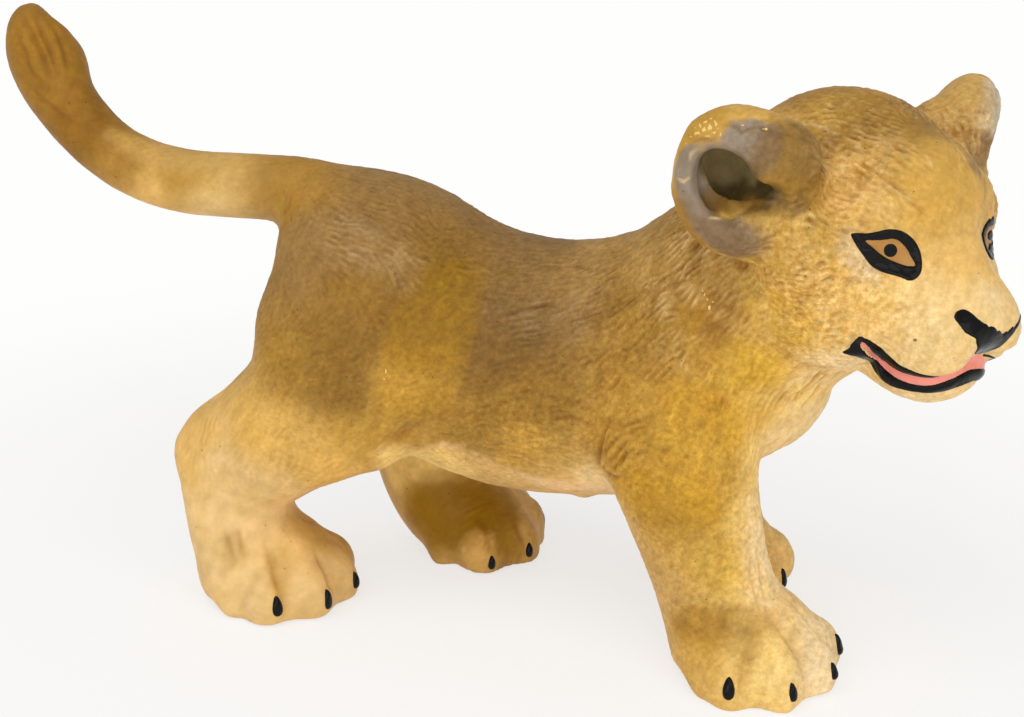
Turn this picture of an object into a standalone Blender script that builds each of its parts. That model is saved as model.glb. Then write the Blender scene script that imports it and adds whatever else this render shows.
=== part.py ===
"""Lion cub play figure, about 86 mm from the tail's tip to the muzzle.

Four soft plastic mouldings are plugged together and glued: the hind body with both hind legs, the
fore body with the neck and both front legs, the head, and the tail. The claws and the paint of
the eyes, nose and mouth are thin inlays that sit in their own pockets.

The form is laid out from the back of the rump, with X forward, Y to the cub's left from its
middle, and Z up from the floor. At the end everything moves so that the origin lies on the floor
under the middle of the whole figure.
"""

import math

import bmesh
import bpy
from mathutils import Matrix, Vector

MM = 0.001
RIGHT = -1
LEFT = 1

# Trunk, from the back of the rump to the front of the chest.
BODY_LENGTH = 46 * MM
BODY_WIDTH = 19.5 * MM
BODY_HEIGHT = 36.5 * MM
# Each row: place along the length, belly and back as shares of the height, half width.
BODY_SHARES = (
    (0.00, 0.620, 0.89, 0.21),
    (0.04, 0.490, 0.965, 0.37),
    (0.11, 0.410, 1.00, 0.45),
    (0.22, 0.355, 0.985, 0.49),
    (0.29, 0.320, 0.955, 0.50),
    (0.38, 0.290, 0.895, 0.49),
    (0.47, 0.280, 0.87, 0.48),
    (0.56, 0.285, 0.872, 0.49),
    (0.65, 0.300, 0.905, 0.50),
    (0.73, 0.320, 0.94, 0.50),
    (0.82, 0.360, 0.95, 0.48),
    (0.90, 0.430, 0.88, 0.40),
    (0.96, 0.480, 0.80, 0.30),
    (1.00, 0.560, 0.72, 0.17),
)

# Legs. Each row is a place on the trunk's three sizes, then half the depth and half the width.
LEG_DEPTH = 10.6 * MM
LEG_WIDTH = 9.4 * MM
HIND_RIGHT_SHARES = (
    (0.200, -0.26, 0.74, 0.84, 0.51),
    (0.172, -0.31, 0.61, 0.86, 0.60),
    (0.115, -0.35, 0.50, 0.73, 0.59),
    (0.010, -0.36, 0.395, 0.55, 0.53),
    (-0.075, -0.35, 0.315, 0.51, 0.49),
    (-0.070, -0.35, 0.21, 0.47, 0.50),
    (-0.050, -0.35, 0.12, 0.47, 0.55),
    (-0.032, -0.36, 0.03, 0.46, 0.58),
)
HIND_LEFT_SHARES = (
    (0.205, 0.26, 0.74, 0.81, 0.51),
    (0.240, 0.31, 0.60, 0.77, 0.57),
    (0.250, 0.36, 0.47, 0.64, 0.55),
    (0.210, 0.39, 0.36, 0.53, 0.50),
    (0.195, 0.40, 0.26, 0.48, 0.48),
    (0.220, 0.41, 0.16, 0.48, 0.49),
    (0.260, 0.41, 0.10, 0.49, 0.53),
)
FRONT_RIGHT_SHARES = (
    (0.730, -0.26, 0.71, 0.80, 0.51),
    (0.755, -0.32, 0.56, 0.68, 0.57),
    (0.785, -0.35, 0.42, 0.55, 0.54),
    (0.812, -0.37, 0.31, 0.485, 0.51),
    (0.835, -0.38, 0.22, 0.45, 0.50),
    (0.860, -0.39, 0.13, 0.45, 0.54),
    (0.880, -0.40, 0.04, 0.46, 0.58),
)
FRONT_LEFT_SHARES = (
    (0.730, 0.26, 0.71, 0.80, 0.51),
    (0.735, 0.32, 0.56, 0.68, 0.56),
    (0.740, 0.36, 0.42, 0.56, 0.52),
    (0.745, 0.39, 0.31, 0.48, 0.49),
    (0.750, 0.41, 0.22, 0.45, 0.48),
    (0.765, 0.42, 0.12, 0.45, 0.50),
)

# Paws: the place of the ball of each foot on the trunk's length and width, and its turn.
PAW_LENGTH = 13.6 * MM
PAW_WIDTH = 13.2 * MM
PAW_HEIGHT = 7.0 * MM
PAWS = {
    "hind_right": (0.005, -0.33, math.radians(-12)),
    "hind_left": (0.285, 0.415, math.radians(2)),
    "front_right": (0.912, -0.39, math.radians(-36)),
    "front_left": (0.770, 0.43, math.radians(-2)),
}
TOE_TURNS = tuple(math.radians(turn) for turn in (-62, -21, 20, 60))
# The toes stand on a ring round the ball, each longer than wide.
TOE_RING_SHARE = 0.305
TOE_SHARES = (0.24, 0.185, 0.47)
BALL_SHARES = (0.37, 0.40, 0.66)
# The floor cuts the foot this share of its height above its round underside.
SOLE_SHARE = 0.27

# Claws: a drop on the front of each toe, leaning back, set in a pocket.
CLAW_LENGTH = 2.0 * MM
CLAW_WIDTH = 1.0 * MM
CLAW_DEPTH = 1.2 * MM
CLAW_LEAN = math.radians(14)
CLAW_SIDES = 8
CLAW_PLACE_SHARES = (0.505, 0.26)

# Tail: a loft from the rump to the tuft, out behind and then up.
TAIL_REACH = 24 * MM
TAIL_RISE = 15 * MM
TAIL_THICKNESS = 6 * MM
TAIL_ROOT_SHARE = 0.937
TAIL_SHARES = (
    (-0.21, -0.08, 0.60),
    (0.00, 0.00, 0.50),
    (0.17, 0.00, 0.475),
    (0.41, 0.00, 0.475),
    (0.60, 0.065, 0.46),
    (0.75, 0.20, 0.45),
    (0.85, 0.385, 0.50),
    (0.915, 0.575, 0.56),
    (0.95, 0.76, 0.55),
    (0.98, 0.90, 0.38),
    (0.99, 0.985, 0.13),
)

# Neck: a loft from between the shoulders into the skull.
NECK_THICKNESS = 18.6 * MM
NECK_SHARES = (
    (0.70, 0.00, 0.63, 0.46),
    (0.79, -0.02, 0.71, 0.515),
    (0.87, -0.05, 0.80, 0.50),
    (0.95, -0.10, 0.89, 0.49),
    (1.01, -0.14, 0.96, 0.43),
)

# Head, measured from the point midway between the ears: length forward, width, height.
HEAD_LENGTH = 24.4 * MM
HEAD_WIDTH = 19 * MM
HEAD_HEIGHT = 22.6 * MM
HEAD_PLACE_SHARES = (1.022, -0.133, 1.148)
HEAD_TURN = math.radians(-34)
# Each row: forward, to the left, up, then the three half sizes.
HEAD_MIDDLE_SHARES = (
    (-0.03, 0.0, -0.25, 0.41, 0.47, 0.43),
    (0.21, 0.0, -0.16, 0.22, 0.34, 0.25),
    (0.03, 0.0, -0.50, 0.30, 0.33, 0.25),
    (0.34, 0.0, -0.475, 0.235, 0.26, 0.185),
    (0.515, 0.0, -0.475, 0.07, 0.160, 0.075),
    (0.32, 0.0, -0.685, 0.215, 0.205, 0.095),
)
HEAD_PAIR_SHARES = (
    (0.09, 0.26, -0.43, 0.26, 0.25, 0.27),
    (0.26, 0.225, -0.155, 0.11, 0.17, 0.11),
    (0.295, 0.205, -0.257, 0.08, 0.10, 0.085),
    (0.27, 0.17, -0.40, 0.19, 0.16, 0.15),
    (0.01, 0.49, -0.05, 0.12, 0.17, 0.16),
    (0.13, 0.46, -0.27, 0.14, 0.14, 0.18),
    (0.43, 0.132, -0.525, 0.145, 0.147, 0.138),
)
BRIDGE_SHARES = (
    (0.20, -0.20, 0.13, 0.19),
    (0.35, -0.27, 0.12, 0.17),
    (0.46, -0.40, 0.07, 0.15),
    (0.515, -0.445, 0.045, 0.13),
)
BRIDGE_LEAN_SHARE = 0.5

# Ears: round cups that face forward and out.
EAR_SIZE = 11.2 * MM
EAR_THICKNESS = 6.4 * MM
EAR_PLACE_SHARES = (0.020, 0.60, -0.07)
EAR_TURN = math.radians(44)
EAR_TILT = math.radians(8)
EAR_LEAN = math.radians(30)
EAR_CUP_SHARES = (0.50, 0.23, 0.27)
# The hollow lies out from the lens, to its back edge and up, as shares of its sizes.
EAR_CUP_OFFSET_SHARES = (0.38, 0.09, 0.12)

# Eyes: an almond outline round an amber almond with a round pupil, looking out and forward.
EYE_LENGTH = 5.5 * MM
EYE_HEIGHT = 3.2 * MM
EYE_LINE = 0.65 * MM
PUPIL_SIZE = 0.8 * MM
EYE_PLACE_SHARES = (0.344, 0.274, -0.257)
EYE_TURN = math.radians(43)
EYE_TILT = math.radians(30)

# Nose: a wide leather pad with raised wings, as shares of its width and height.
NOSE_WIDTH = 6.4 * MM
NOSE_HEIGHT = 3.5 * MM
NOSE_PLACE_SHARES = (0.53, 0.0, -0.52)
NOSE_SHARES = (
    (0.00, 0.32), (0.20, 0.38), (0.34, 0.56), (0.47, 0.54), (0.51, 0.36),
    (0.40, 0.06), (0.24, -0.14), (0.12, -0.30), (0.00, -0.48),
)

# Mouth: a horseshoe line round the jaw. Each row is a turn from the front and a height.
MOUTH_CENTRE_SHARE = 0.217
MOUTH_REACH_SHARES = (0.283, 0.258)
MOUTH_HEIGHT = 0.75 * MM
LIP_HEIGHT = 0.85 * MM
MOUTH_SHARES = ((0, -0.636), (20, -0.655), (38, -0.664), (53, -0.640), (67, -0.602), (77, -0.574))
LIP_SHARES = ((0, -0.684), (20, -0.704), (38, -0.712), (53, -0.690), (67, -0.652), (76, -0.622), (84, -0.600))

# Paint inlays stand proud of the face by this much, and are this far from their pocket's walls.
PAINT_PROUD = 0.12 * MM
PAINT_GAP = 0.15 * MM
PAINT_DEPTH = 1.1 * MM
PAINT_REACH = 3 * MM
ALMOND_STEPS = 12
ALMOND_POINT_POWER = 1.2

# The joined form is drawn with a fine grid and then thinned.
GRID = 0.45 * MM
BASE_SMOOTHING = 12
FINE_SMOOTHING = 3
SMOOTHING_SHARE = 0.5
KEPT_SHARE = 0.062
RING_SIDES = 28
ROW_STEPS = 4
BALL_SIDES = 32
BALL_RINGS = 20

# Joints between the mouldings: a glue line, and a round plug in a socket.
GLUE_GAP = 0.3 * MM
BODY_SEAM_SHARES = (0.595, 0.0, 0.59)
BODY_PLUG_SIZE = 9.0 * MM
BODY_PLUG_LENGTH = 5.0 * MM
NECK_SEAM_SHARES = (0.90, -0.07, 0.86)
NECK_SEAM_LEAN = math.radians(50)
NECK_SEAM_TURN = math.radians(-15)
NECK_PLUG_SIZE = 7.0 * MM
NECK_PLUG_LENGTH = 4.5 * MM
TAIL_SEAM_SHARES = (-0.035, 0.0, 0.937)
TAIL_PLUG_SIZE = 2.8 * MM
TAIL_PLUG_LENGTH = 3.0 * MM
TAIL_CUT = 14 * MM
PLUG_SIDES = 32
REACH = 160 * MM

# Each finish: its linear colour and its roughness.
FINISHES = {
    "hide_hind": ((0.38, 0.21, 0.05), 0.6),
    "hide_fore": ((0.55, 0.31, 0.06), 0.6),
    "hide_head": ((0.60, 0.34, 0.08), 0.6),
    "hide_tail": ((0.45, 0.25, 0.05), 0.6),
    "black_paint": ((0.01, 0.01, 0.012), 0.2),
    "amber_paint": ((0.58, 0.31, 0.11), 0.25),
    "pink_paint": ((0.79, 0.25, 0.19), 0.3),
}


def clear_scene():
    for old in list(bpy.data.objects):
        bpy.data.objects.remove(old, do_unlink=True)


def collection_named(name):
    made = bpy.data.collections.new(name)
    bpy.context.scene.collection.children.link(made)
    return made


def finish(name):
    colour, roughness = FINISHES[name]
    made = bpy.data.materials.new(name)
    made.use_nodes = True
    shader = made.node_tree.nodes["Principled BSDF"]
    shader.inputs["Base Color"].default_value = (*colour, 1.0)
    shader.inputs["Roughness"].default_value = roughness
    shader.inputs["Metallic"].default_value = 0.0
    return made


def body_point(length_share, width_share, height_share):
    return Vector((BODY_LENGTH * length_share, BODY_WIDTH * width_share, BODY_HEIGHT * height_share))


def head_frame():
    """Turns head sizes, forward, left and up, into places on the figure."""
    place = Matrix.Translation(body_point(*HEAD_PLACE_SHARES))
    return place @ Matrix.Rotation(HEAD_TURN, 4, "Z")


def head_vector(forward_share, left_share, up_share):
    return Vector((HEAD_LENGTH * forward_share, HEAD_WIDTH * left_share, HEAD_HEIGHT * up_share))


def refined(rows):
    """Adds points between the rows on a smooth curve through them."""
    last = len(rows) - 1
    found = []
    for index in range(last):
        before = rows[max(index - 1, 0)]
        here = rows[index]
        there = rows[index + 1]
        after = rows[min(index + 2, last)]
        for step in range(ROW_STEPS):
            t = step / ROW_STEPS
            found.append(
                tuple(
                    0.5 * (2 * b + (c - a) * t + (2 * a - 5 * b + 4 * c - d) * t * t
                           + (3 * b - a - 3 * c + d) * t**3)
                    for a, b, c, d in zip(before, here, there, after)
                )
            )
    found.append(tuple(rows[last]))
    return found


def add_loft(bm, rings):
    """Each ring is a middle and two half axes. The ends are closed flat."""
    loops = []
    for middle, across, upward in rings:
        loop = []
        for side in range(RING_SIDES):
            angle = 2 * math.pi * side / RING_SIDES
            loop.append(bm.verts.new(middle + across * math.cos(angle) + upward * math.sin(angle)))
        loops.append(loop)
    faces = []
    for first, second in zip(loops, loops[1:]):
        for side in range(RING_SIDES):
            after = (side + 1) % RING_SIDES
            faces.append(bm.faces.new((first[side], first[after], second[after], second[side])))
    faces.append(bm.faces.new(loops[0][::-1]))
    faces.append(bm.faces.new(loops[-1]))
    bmesh.ops.recalc_face_normals(bm, faces=faces)


def unit_ball():
    bm = bmesh.new()
    bmesh.ops.create_uvsphere(bm, u_segments=BALL_SIDES, v_segments=BALL_RINGS, radius=1.0)
    mesh = bpy.data.meshes.new("unit_ball")
    bm.to_mesh(mesh)
    bm.free()
    return mesh


def add_ball(bm, matrix):
    mesh = unit_ball()
    mesh.transform(matrix)
    bm.from_mesh(mesh)
    bpy.data.meshes.remove(mesh)


def sized(matrix, half_sizes):
    return matrix @ Matrix.Diagonal((*half_sizes, 1.0))


def add_trunk(bm):
    rings = []
    for place, low, high, half_width in refined(BODY_SHARES):
        middle = body_point(place, 0, (low + high) / 2)
        half_height = BODY_HEIGHT * (high - low) / 2
        rings.append((middle, Vector((0, BODY_WIDTH * half_width, 0)), Vector((0, 0, half_height))))
    add_loft(bm, rings)


def add_limb(bm, places, half_depths, half_widths):
    """A loft along a line in the XZ plane, with its rings square to the line."""
    rings = []
    last = len(places) - 1
    for index, middle in enumerate(places):
        run = places[min(index + 1, last)] - places[max(index - 1, 0)]
        square = Vector((-run.z, 0, run.x)).normalized()
        rings.append((middle, square * half_depths[index], Vector((0, half_widths[index], 0))))
    add_loft(bm, rings)


def add_leg(bm, shares):
    rows = refined(shares)
    places = [body_point(*row[:3]) for row in rows]
    half_depths = [LEG_DEPTH * row[3] for row in rows]
    half_widths = [LEG_WIDTH * row[4] for row in rows]
    add_limb(bm, places, half_depths, half_widths)


def add_tail(bm):
    rows = refined(TAIL_SHARES)
    root = body_point(0, 0, TAIL_ROOT_SHARE)
    places = [root + Vector((-TAIL_REACH * row[0], 0, TAIL_RISE * row[1])) for row in rows]
    radii = [TAIL_THICKNESS * row[2] for row in rows]
    add_limb(bm, places, radii, radii)


def add_neck(bm):
    rows = refined(NECK_SHARES)
    places = [body_point(*row[:3]) for row in rows]
    radii = [NECK_THICKNESS * row[3] for row in rows]
    add_limb(bm, places, radii, radii)


def add_head(bm):
    frame = head_frame()
    rows = list(HEAD_MIDDLE_SHARES)
    for forward, left, up, *sizes in HEAD_PAIR_SHARES:
        rows.extend((forward, side * left, up, *sizes) for side in (RIGHT, LEFT))
    for row in rows:
        place = Matrix.Translation(head_vector(*row[:3]))
        add_ball(bm, sized(frame @ place, head_vector(*row[3:])))
    rings = []
    for forward, up, half_height, half_width in refined(BRIDGE_SHARES):
        middle = frame @ head_vector(forward, 0, up)
        upright = frame.to_3x3() @ head_vector(half_height * BRIDGE_LEAN_SHARE, 0, half_height)
        rings.append((middle, frame.to_3x3() @ head_vector(0, half_width, 0), upright))
    add_loft(bm, rings)


def ear_frame(side):
    """X points out of the cup, Z to the ear's tip."""
    forward, left, up = EAR_PLACE_SHARES
    place = Matrix.Translation(head_vector(forward, side * left, up))
    lean = Matrix.Rotation(-side * EAR_LEAN, 4, "X")
    turn = Matrix.Rotation(side * EAR_TURN, 4, "Z") @ Matrix.Rotation(-EAR_TILT, 4, "Y")
    return head_frame() @ place @ lean @ turn


def add_ear(bm, side, guides):
    """A round lens with a rounder hollow in its front."""
    lens = bmesh.new()
    add_ball(lens, sized(ear_frame(side), (EAR_THICKNESS / 2, EAR_SIZE / 2, EAR_SIZE / 2)))
    hollow = bmesh.new()
    out, back, up = EAR_CUP_OFFSET_SHARES
    offset = Matrix.Translation((EAR_THICKNESS * out, side * EAR_SIZE * back, EAR_SIZE * up))
    deep, wide, high = EAR_CUP_SHARES
    half_sizes = (EAR_THICKNESS * deep, EAR_SIZE * wide, EAR_SIZE * high)
    add_ball(hollow, sized(ear_frame(side) @ offset, half_sizes))
    ear = mesh_object("ear_lens", lens, guides, guide=True)
    add_boolean(ear, mesh_object("ear_hollow", hollow, guides, guide=True), "DIFFERENCE")
    bm.from_mesh(evaluated_mesh(ear))


def paw_frame(name):
    length_share, width_share, turn = PAWS[name]
    return Matrix.Translation(body_point(length_share, width_share, 0)) @ Matrix.Rotation(turn, 4, "Z")


def add_paw(bm, name):
    frame = paw_frame(name)
    low = -PAW_HEIGHT * SOLE_SHARE
    long, wide, high = BALL_SHARES
    half = (PAW_LENGTH * long, PAW_WIDTH * wide, PAW_HEIGHT * high)
    ball = Matrix.Translation((0, 0, half[2] + low))
    add_ball(bm, sized(frame @ ball, half))
    long, wide, high = TOE_SHARES
    half = (PAW_LENGTH * long, PAW_WIDTH * wide, PAW_HEIGHT * high)
    for turn in TOE_TURNS:
        spot = Matrix.Translation((PAW_LENGTH * TOE_RING_SHARE, 0, half[2] + low))
        add_ball(bm, sized(frame @ Matrix.Rotation(turn, 4, "Z") @ spot, half))


def mesh_object(name, bm, collection, guide=False):
    mesh = bpy.data.meshes.new(name)
    bm.to_mesh(mesh)
    bm.free()
    made = bpy.data.objects.new(name, mesh)
    collection.objects.link(made)
    if guide:
        made.hide_render = True
        made.display_type = "WIRE"
    return made


def evaluated_mesh(obj):
    graph = bpy.context.evaluated_depsgraph_get()
    return bpy.data.meshes.new_from_object(obj.evaluated_get(graph), depsgraph=graph)


def add_remesh(obj, smoothing):
    remesh = obj.modifiers.new("grid", "REMESH")
    remesh.mode = "VOXEL"
    remesh.voxel_size = GRID
    smooth = obj.modifiers.new("smooth", "SMOOTH")
    smooth.factor = SMOOTHING_SHARE
    smooth.iterations = smoothing


def add_boolean(obj, other, operation):
    cut = obj.modifiers.new(other.name, "BOOLEAN")
    cut.operation = operation
    cut.solver = "EXACT"
    cut.object = other


def whole_form(guides):
    """The joined figure before it is cut into mouldings."""
    bm = bmesh.new()
    add_trunk(bm)
    for shares in (HIND_RIGHT_SHARES, HIND_LEFT_SHARES, FRONT_RIGHT_SHARES, FRONT_LEFT_SHARES):
        add_leg(bm, shares)
    add_tail(bm)
    add_neck(bm)
    add_head(bm)
    for name in PAWS:
        add_paw(bm, name)
    base = mesh_object("base_form", bm, guides, guide=True)
    add_remesh(base, BASE_SMOOTHING)
    soft = evaluated_mesh(base)

    bm = bmesh.new()
    bm.from_mesh(soft)
    for name in PAWS:
        add_paw(bm, name)
    for side in (RIGHT, LEFT):
        add_ear(bm, side, guides)
    fine = mesh_object("fine_form", bm, guides, guide=True)
    add_remesh(fine, FINE_SMOOTHING)
    thin = fine.modifiers.new("thin", "DECIMATE")
    thin.ratio = KEPT_SHARE
    return evaluated_mesh(fine)


def seam_frame(shares, turn, lean):
    """Z runs square through the seam, from the moulding with the plug to the one with the socket."""
    place = Matrix.Translation(body_point(*shares))
    return place @ Matrix.Rotation(turn, 4, "Z") @ Matrix.Rotation(lean, 4, "Y")


def block(name, frame, size, low, high, guides):
    """A cutter that is square to the frame, from low to high along Z."""
    bm = bmesh.new()
    middle = Matrix.Translation((0, 0, (low + high) / 2))
    matrix = frame @ middle @ Matrix.Diagonal((size, size, high - low, 1))
    bmesh.ops.create_cube(bm, size=1.0, matrix=matrix)
    return mesh_object(name, bm, guides, guide=True)


def rod(name, frame, size, low, high, guides):
    bm = bmesh.new()
    matrix = frame @ Matrix.Translation((0, 0, (low + high) / 2))
    bmesh.ops.create_cone(bm, cap_ends=True, segments=PLUG_SIDES, radius1=size / 2, radius2=size / 2,
                          depth=high - low, matrix=matrix)
    return mesh_object(name, bm, guides, guide=True)


def add_joint(frame, size, length, plugged, socketed, guides):
    """The plug grows from one moulding, and its socket in the other is wider and deeper by the gap."""
    name = plugged.name + "_plug"
    add_boolean(plugged, rod(name, frame, size, -length, length, guides), "UNION")
    wide = size + 2 * GLUE_GAP
    socket = rod(name + "_socket", frame, wide, -length, length + GLUE_GAP, guides)
    add_boolean(socketed, socket, "DIFFERENCE")


def moulding(name, form, hide, figure):
    made = bpy.data.objects.new(name, form.copy())
    made.data.materials.append(finish(hide))
    figure.objects.link(made)
    return made


def add_mouldings(form, figure, guides):
    floor = Matrix.Identity(4)
    body = seam_frame(BODY_SEAM_SHARES, 0.0, math.radians(90))
    neck = seam_frame(NECK_SEAM_SHARES, NECK_SEAM_TURN, NECK_SEAM_LEAN)
    tail = seam_frame(TAIL_SEAM_SHARES, 0.0, math.radians(-90))
    half = GLUE_GAP / 2

    rear = tail @ Matrix.Translation(((REACH - TAIL_CUT) / 2, 0, 0))
    under = block("under_floor", floor, REACH, -REACH, 0.0, guides)
    ahead = block("ahead_of_body_seam", body, REACH, -half, REACH, guides)
    behind = block("behind_body_seam", body, REACH, -REACH, half, guides)
    above = block("above_neck_seam", neck, REACH, -half, REACH, guides)
    below = block("below_neck_seam", neck, REACH, -REACH, half, guides)
    tail_off = block("past_tail_seam", rear, REACH, -half, REACH, guides)
    tail_only = block("tail_side", rear, REACH, half, REACH, guides)

    hind = moulding("hind_body", form, "hide_hind", figure)
    fore = moulding("fore_body", form, "hide_fore", figure)
    head = moulding("head", form, "hide_head", figure)
    tail_piece = moulding("tail", form, "hide_tail", figure)
    cuts = ((hind, (under, ahead, tail_off)), (fore, (under, behind, above)), (head, (behind, below)))
    for piece, cutters in cuts:
        for cutter in cutters:
            add_boolean(piece, cutter, "DIFFERENCE")
    add_boolean(tail_piece, tail_only, "INTERSECT")
    add_joint(body, BODY_PLUG_SIZE, BODY_PLUG_LENGTH, hind, fore, guides)
    add_joint(neck, NECK_PLUG_SIZE, NECK_PLUG_LENGTH, fore, head, guides)
    flipped = tail @ Matrix.Rotation(math.pi, 4, "X")
    add_joint(flipped, TAIL_PLUG_SIZE, TAIL_PLUG_LENGTH, tail_piece, hind, guides)
    return hind, fore, head, tail_piece


def claw_matrix(paw, turn, spare):
    """A ball's matrix for one claw, grown by the spare gap all round."""
    out, up = CLAW_PLACE_SHARES
    place = Matrix.Translation((PAW_LENGTH * out, 0, PAW_HEIGHT * up))
    frame = paw_frame(paw) @ Matrix.Rotation(turn, 4, "Z") @ place @ Matrix.Rotation(-CLAW_LEAN, 4, "Y")
    half_sizes = (CLAW_DEPTH / 2 + spare, CLAW_WIDTH / 2 + spare, CLAW_LENGTH / 2 + spare)
    return sized(frame, half_sizes)


def claw_ball(bm, matrix):
    bmesh.ops.create_uvsphere(
        bm, u_segments=CLAW_SIDES, v_segments=CLAW_SIDES // 2, radius=1.0, matrix=matrix)


def add_claws(paws, carrier, black, figure, guides):
    for paw in paws:
        pockets = bmesh.new()
        for number, turn in enumerate(TOE_TURNS, start=1):
            bm = bmesh.new()
            claw_ball(bm, claw_matrix(paw, turn, 0.0))
            claw = mesh_object(f"claw_{paw}_{number}", bm, figure)
            claw.data.materials.append(black)
            claw.data.shade_smooth()
            claw_ball(pockets, claw_matrix(paw, turn, PAINT_GAP))
        add_boolean(carrier, mesh_object(f"pockets_{paw}", pockets, guides, guide=True), "DIFFERENCE")


def add_prism(bm, outline, frame, low, high):
    """A closed outline in the frame's XY plane, stood up from low to high along Z."""
    bottom = [bm.verts.new(frame @ Vector((x, y, low))) for x, y in outline]
    top = [bm.verts.new(frame @ Vector((x, y, high))) for x, y in outline]
    faces = [bm.faces.new(bottom[::-1]), bm.faces.new(top)]
    for index in range(len(outline)):
        after = (index + 1) % len(outline)
        faces.append(bm.faces.new((bottom[index], bottom[after], top[after], top[index])))
    bmesh.ops.recalc_face_normals(bm, faces=faces)


def almond(length, height):
    """Two like arcs that meet in blunt points."""
    found = []
    for step in range(ALMOND_STEPS):
        angle = math.pi * step / ALMOND_STEPS
        rise = math.sin(angle) ** ALMOND_POINT_POWER
        found.append((length / 2 * math.cos(angle), height / 2 * rise))
    return found + [(-x, -y) for x, y in found]


def round_outline(size):
    turns = [2 * math.pi * step / ALMOND_STEPS for step in range(ALMOND_STEPS)]
    return [(size / 2 * math.cos(turn), size / 2 * math.sin(turn)) for turn in turns]


def eye_frame(side):
    """Z looks out of the eye, X runs to its front corner."""
    forward, left, up = EYE_PLACE_SHARES
    place = Matrix.Translation(head_vector(forward, side * left, up))
    turn = Matrix.Rotation(side * EYE_TURN, 4, "Z")
    stand = Matrix(((0, 0, 1, 0), (-side, 0, 0, 0), (0, 1, 0, 0), (0, 0, 0, 1)))
    return head_frame() @ place @ turn @ stand @ Matrix.Rotation(-EYE_TILT, 4, "Z")


def prism_object(name, outlines, frame, guides, spare=0.0):
    bm = bmesh.new()
    for outline in outlines:
        add_prism(bm, outline, frame, -PAINT_DEPTH - spare, PAINT_REACH + spare)
    return mesh_object(name, bm, guides, guide=True)


def band_object(name, rows, height, spare, lap, guides):
    """A band round the mouth's horseshoe, through the face. The lap is what it has more on top."""
    frame = head_frame()
    both = [(-turn, up) for turn, up in rows[:0:-1]] + list(rows)
    reach, half_width = MOUTH_REACH_SHARES
    bm = bmesh.new()
    rings = []
    for turn_degrees, up in refined(both):
        turn = math.radians(turn_degrees)
        run = head_vector(reach * math.cos(turn), half_width * math.sin(turn), 0)
        middle = head_vector(MOUTH_CENTRE_SHARE, 0, up)
        side = run.normalized()
        inner, outer = middle + run - side * (PAINT_DEPTH + spare), middle + run + side * PAINT_REACH
        low = Vector((0, 0, -height / 2 - spare))
        high = Vector((0, 0, height / 2 + spare + lap))
        rings.append([frame @ point for point in (inner + low, outer + low, outer + high, inner + high)])
    along = [[bm.verts.new(point) for point in ring] for ring in rings]
    faces = [bm.faces.new(along[0][::-1]), bm.faces.new(along[-1])]
    for first, second in zip(along, along[1:]):
        for index in range(4):
            after = (index + 1) % 4
            faces.append(bm.faces.new((first[index], first[after], second[after], second[index])))
    bmesh.ops.recalc_face_normals(bm, faces=faces)
    return mesh_object(name, bm, guides, guide=True)


def add_paint(name, solid, hollow, face, paint, figure):
    """The inlay is the part of the solid inside the face, which was grown by the paint's height."""
    made = bpy.data.objects.new(name, solid.data.copy())
    made.data.materials.append(paint)
    figure.objects.link(made)
    if hollow:
        add_boolean(made, hollow, "DIFFERENCE")
    add_boolean(made, face, "INTERSECT")


def grown(name, obj, height, guides):
    """A copy of the object's solid, with its surface moved outward by the height."""
    made = bpy.data.objects.new(name, evaluated_mesh(obj))
    guides.objects.link(made)
    made.hide_render = True
    made.display_type = "WIRE"
    swell = made.modifiers.new("swell", "DISPLACE")
    swell.strength = height
    swell.mid_level = 0.0
    return made


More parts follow.
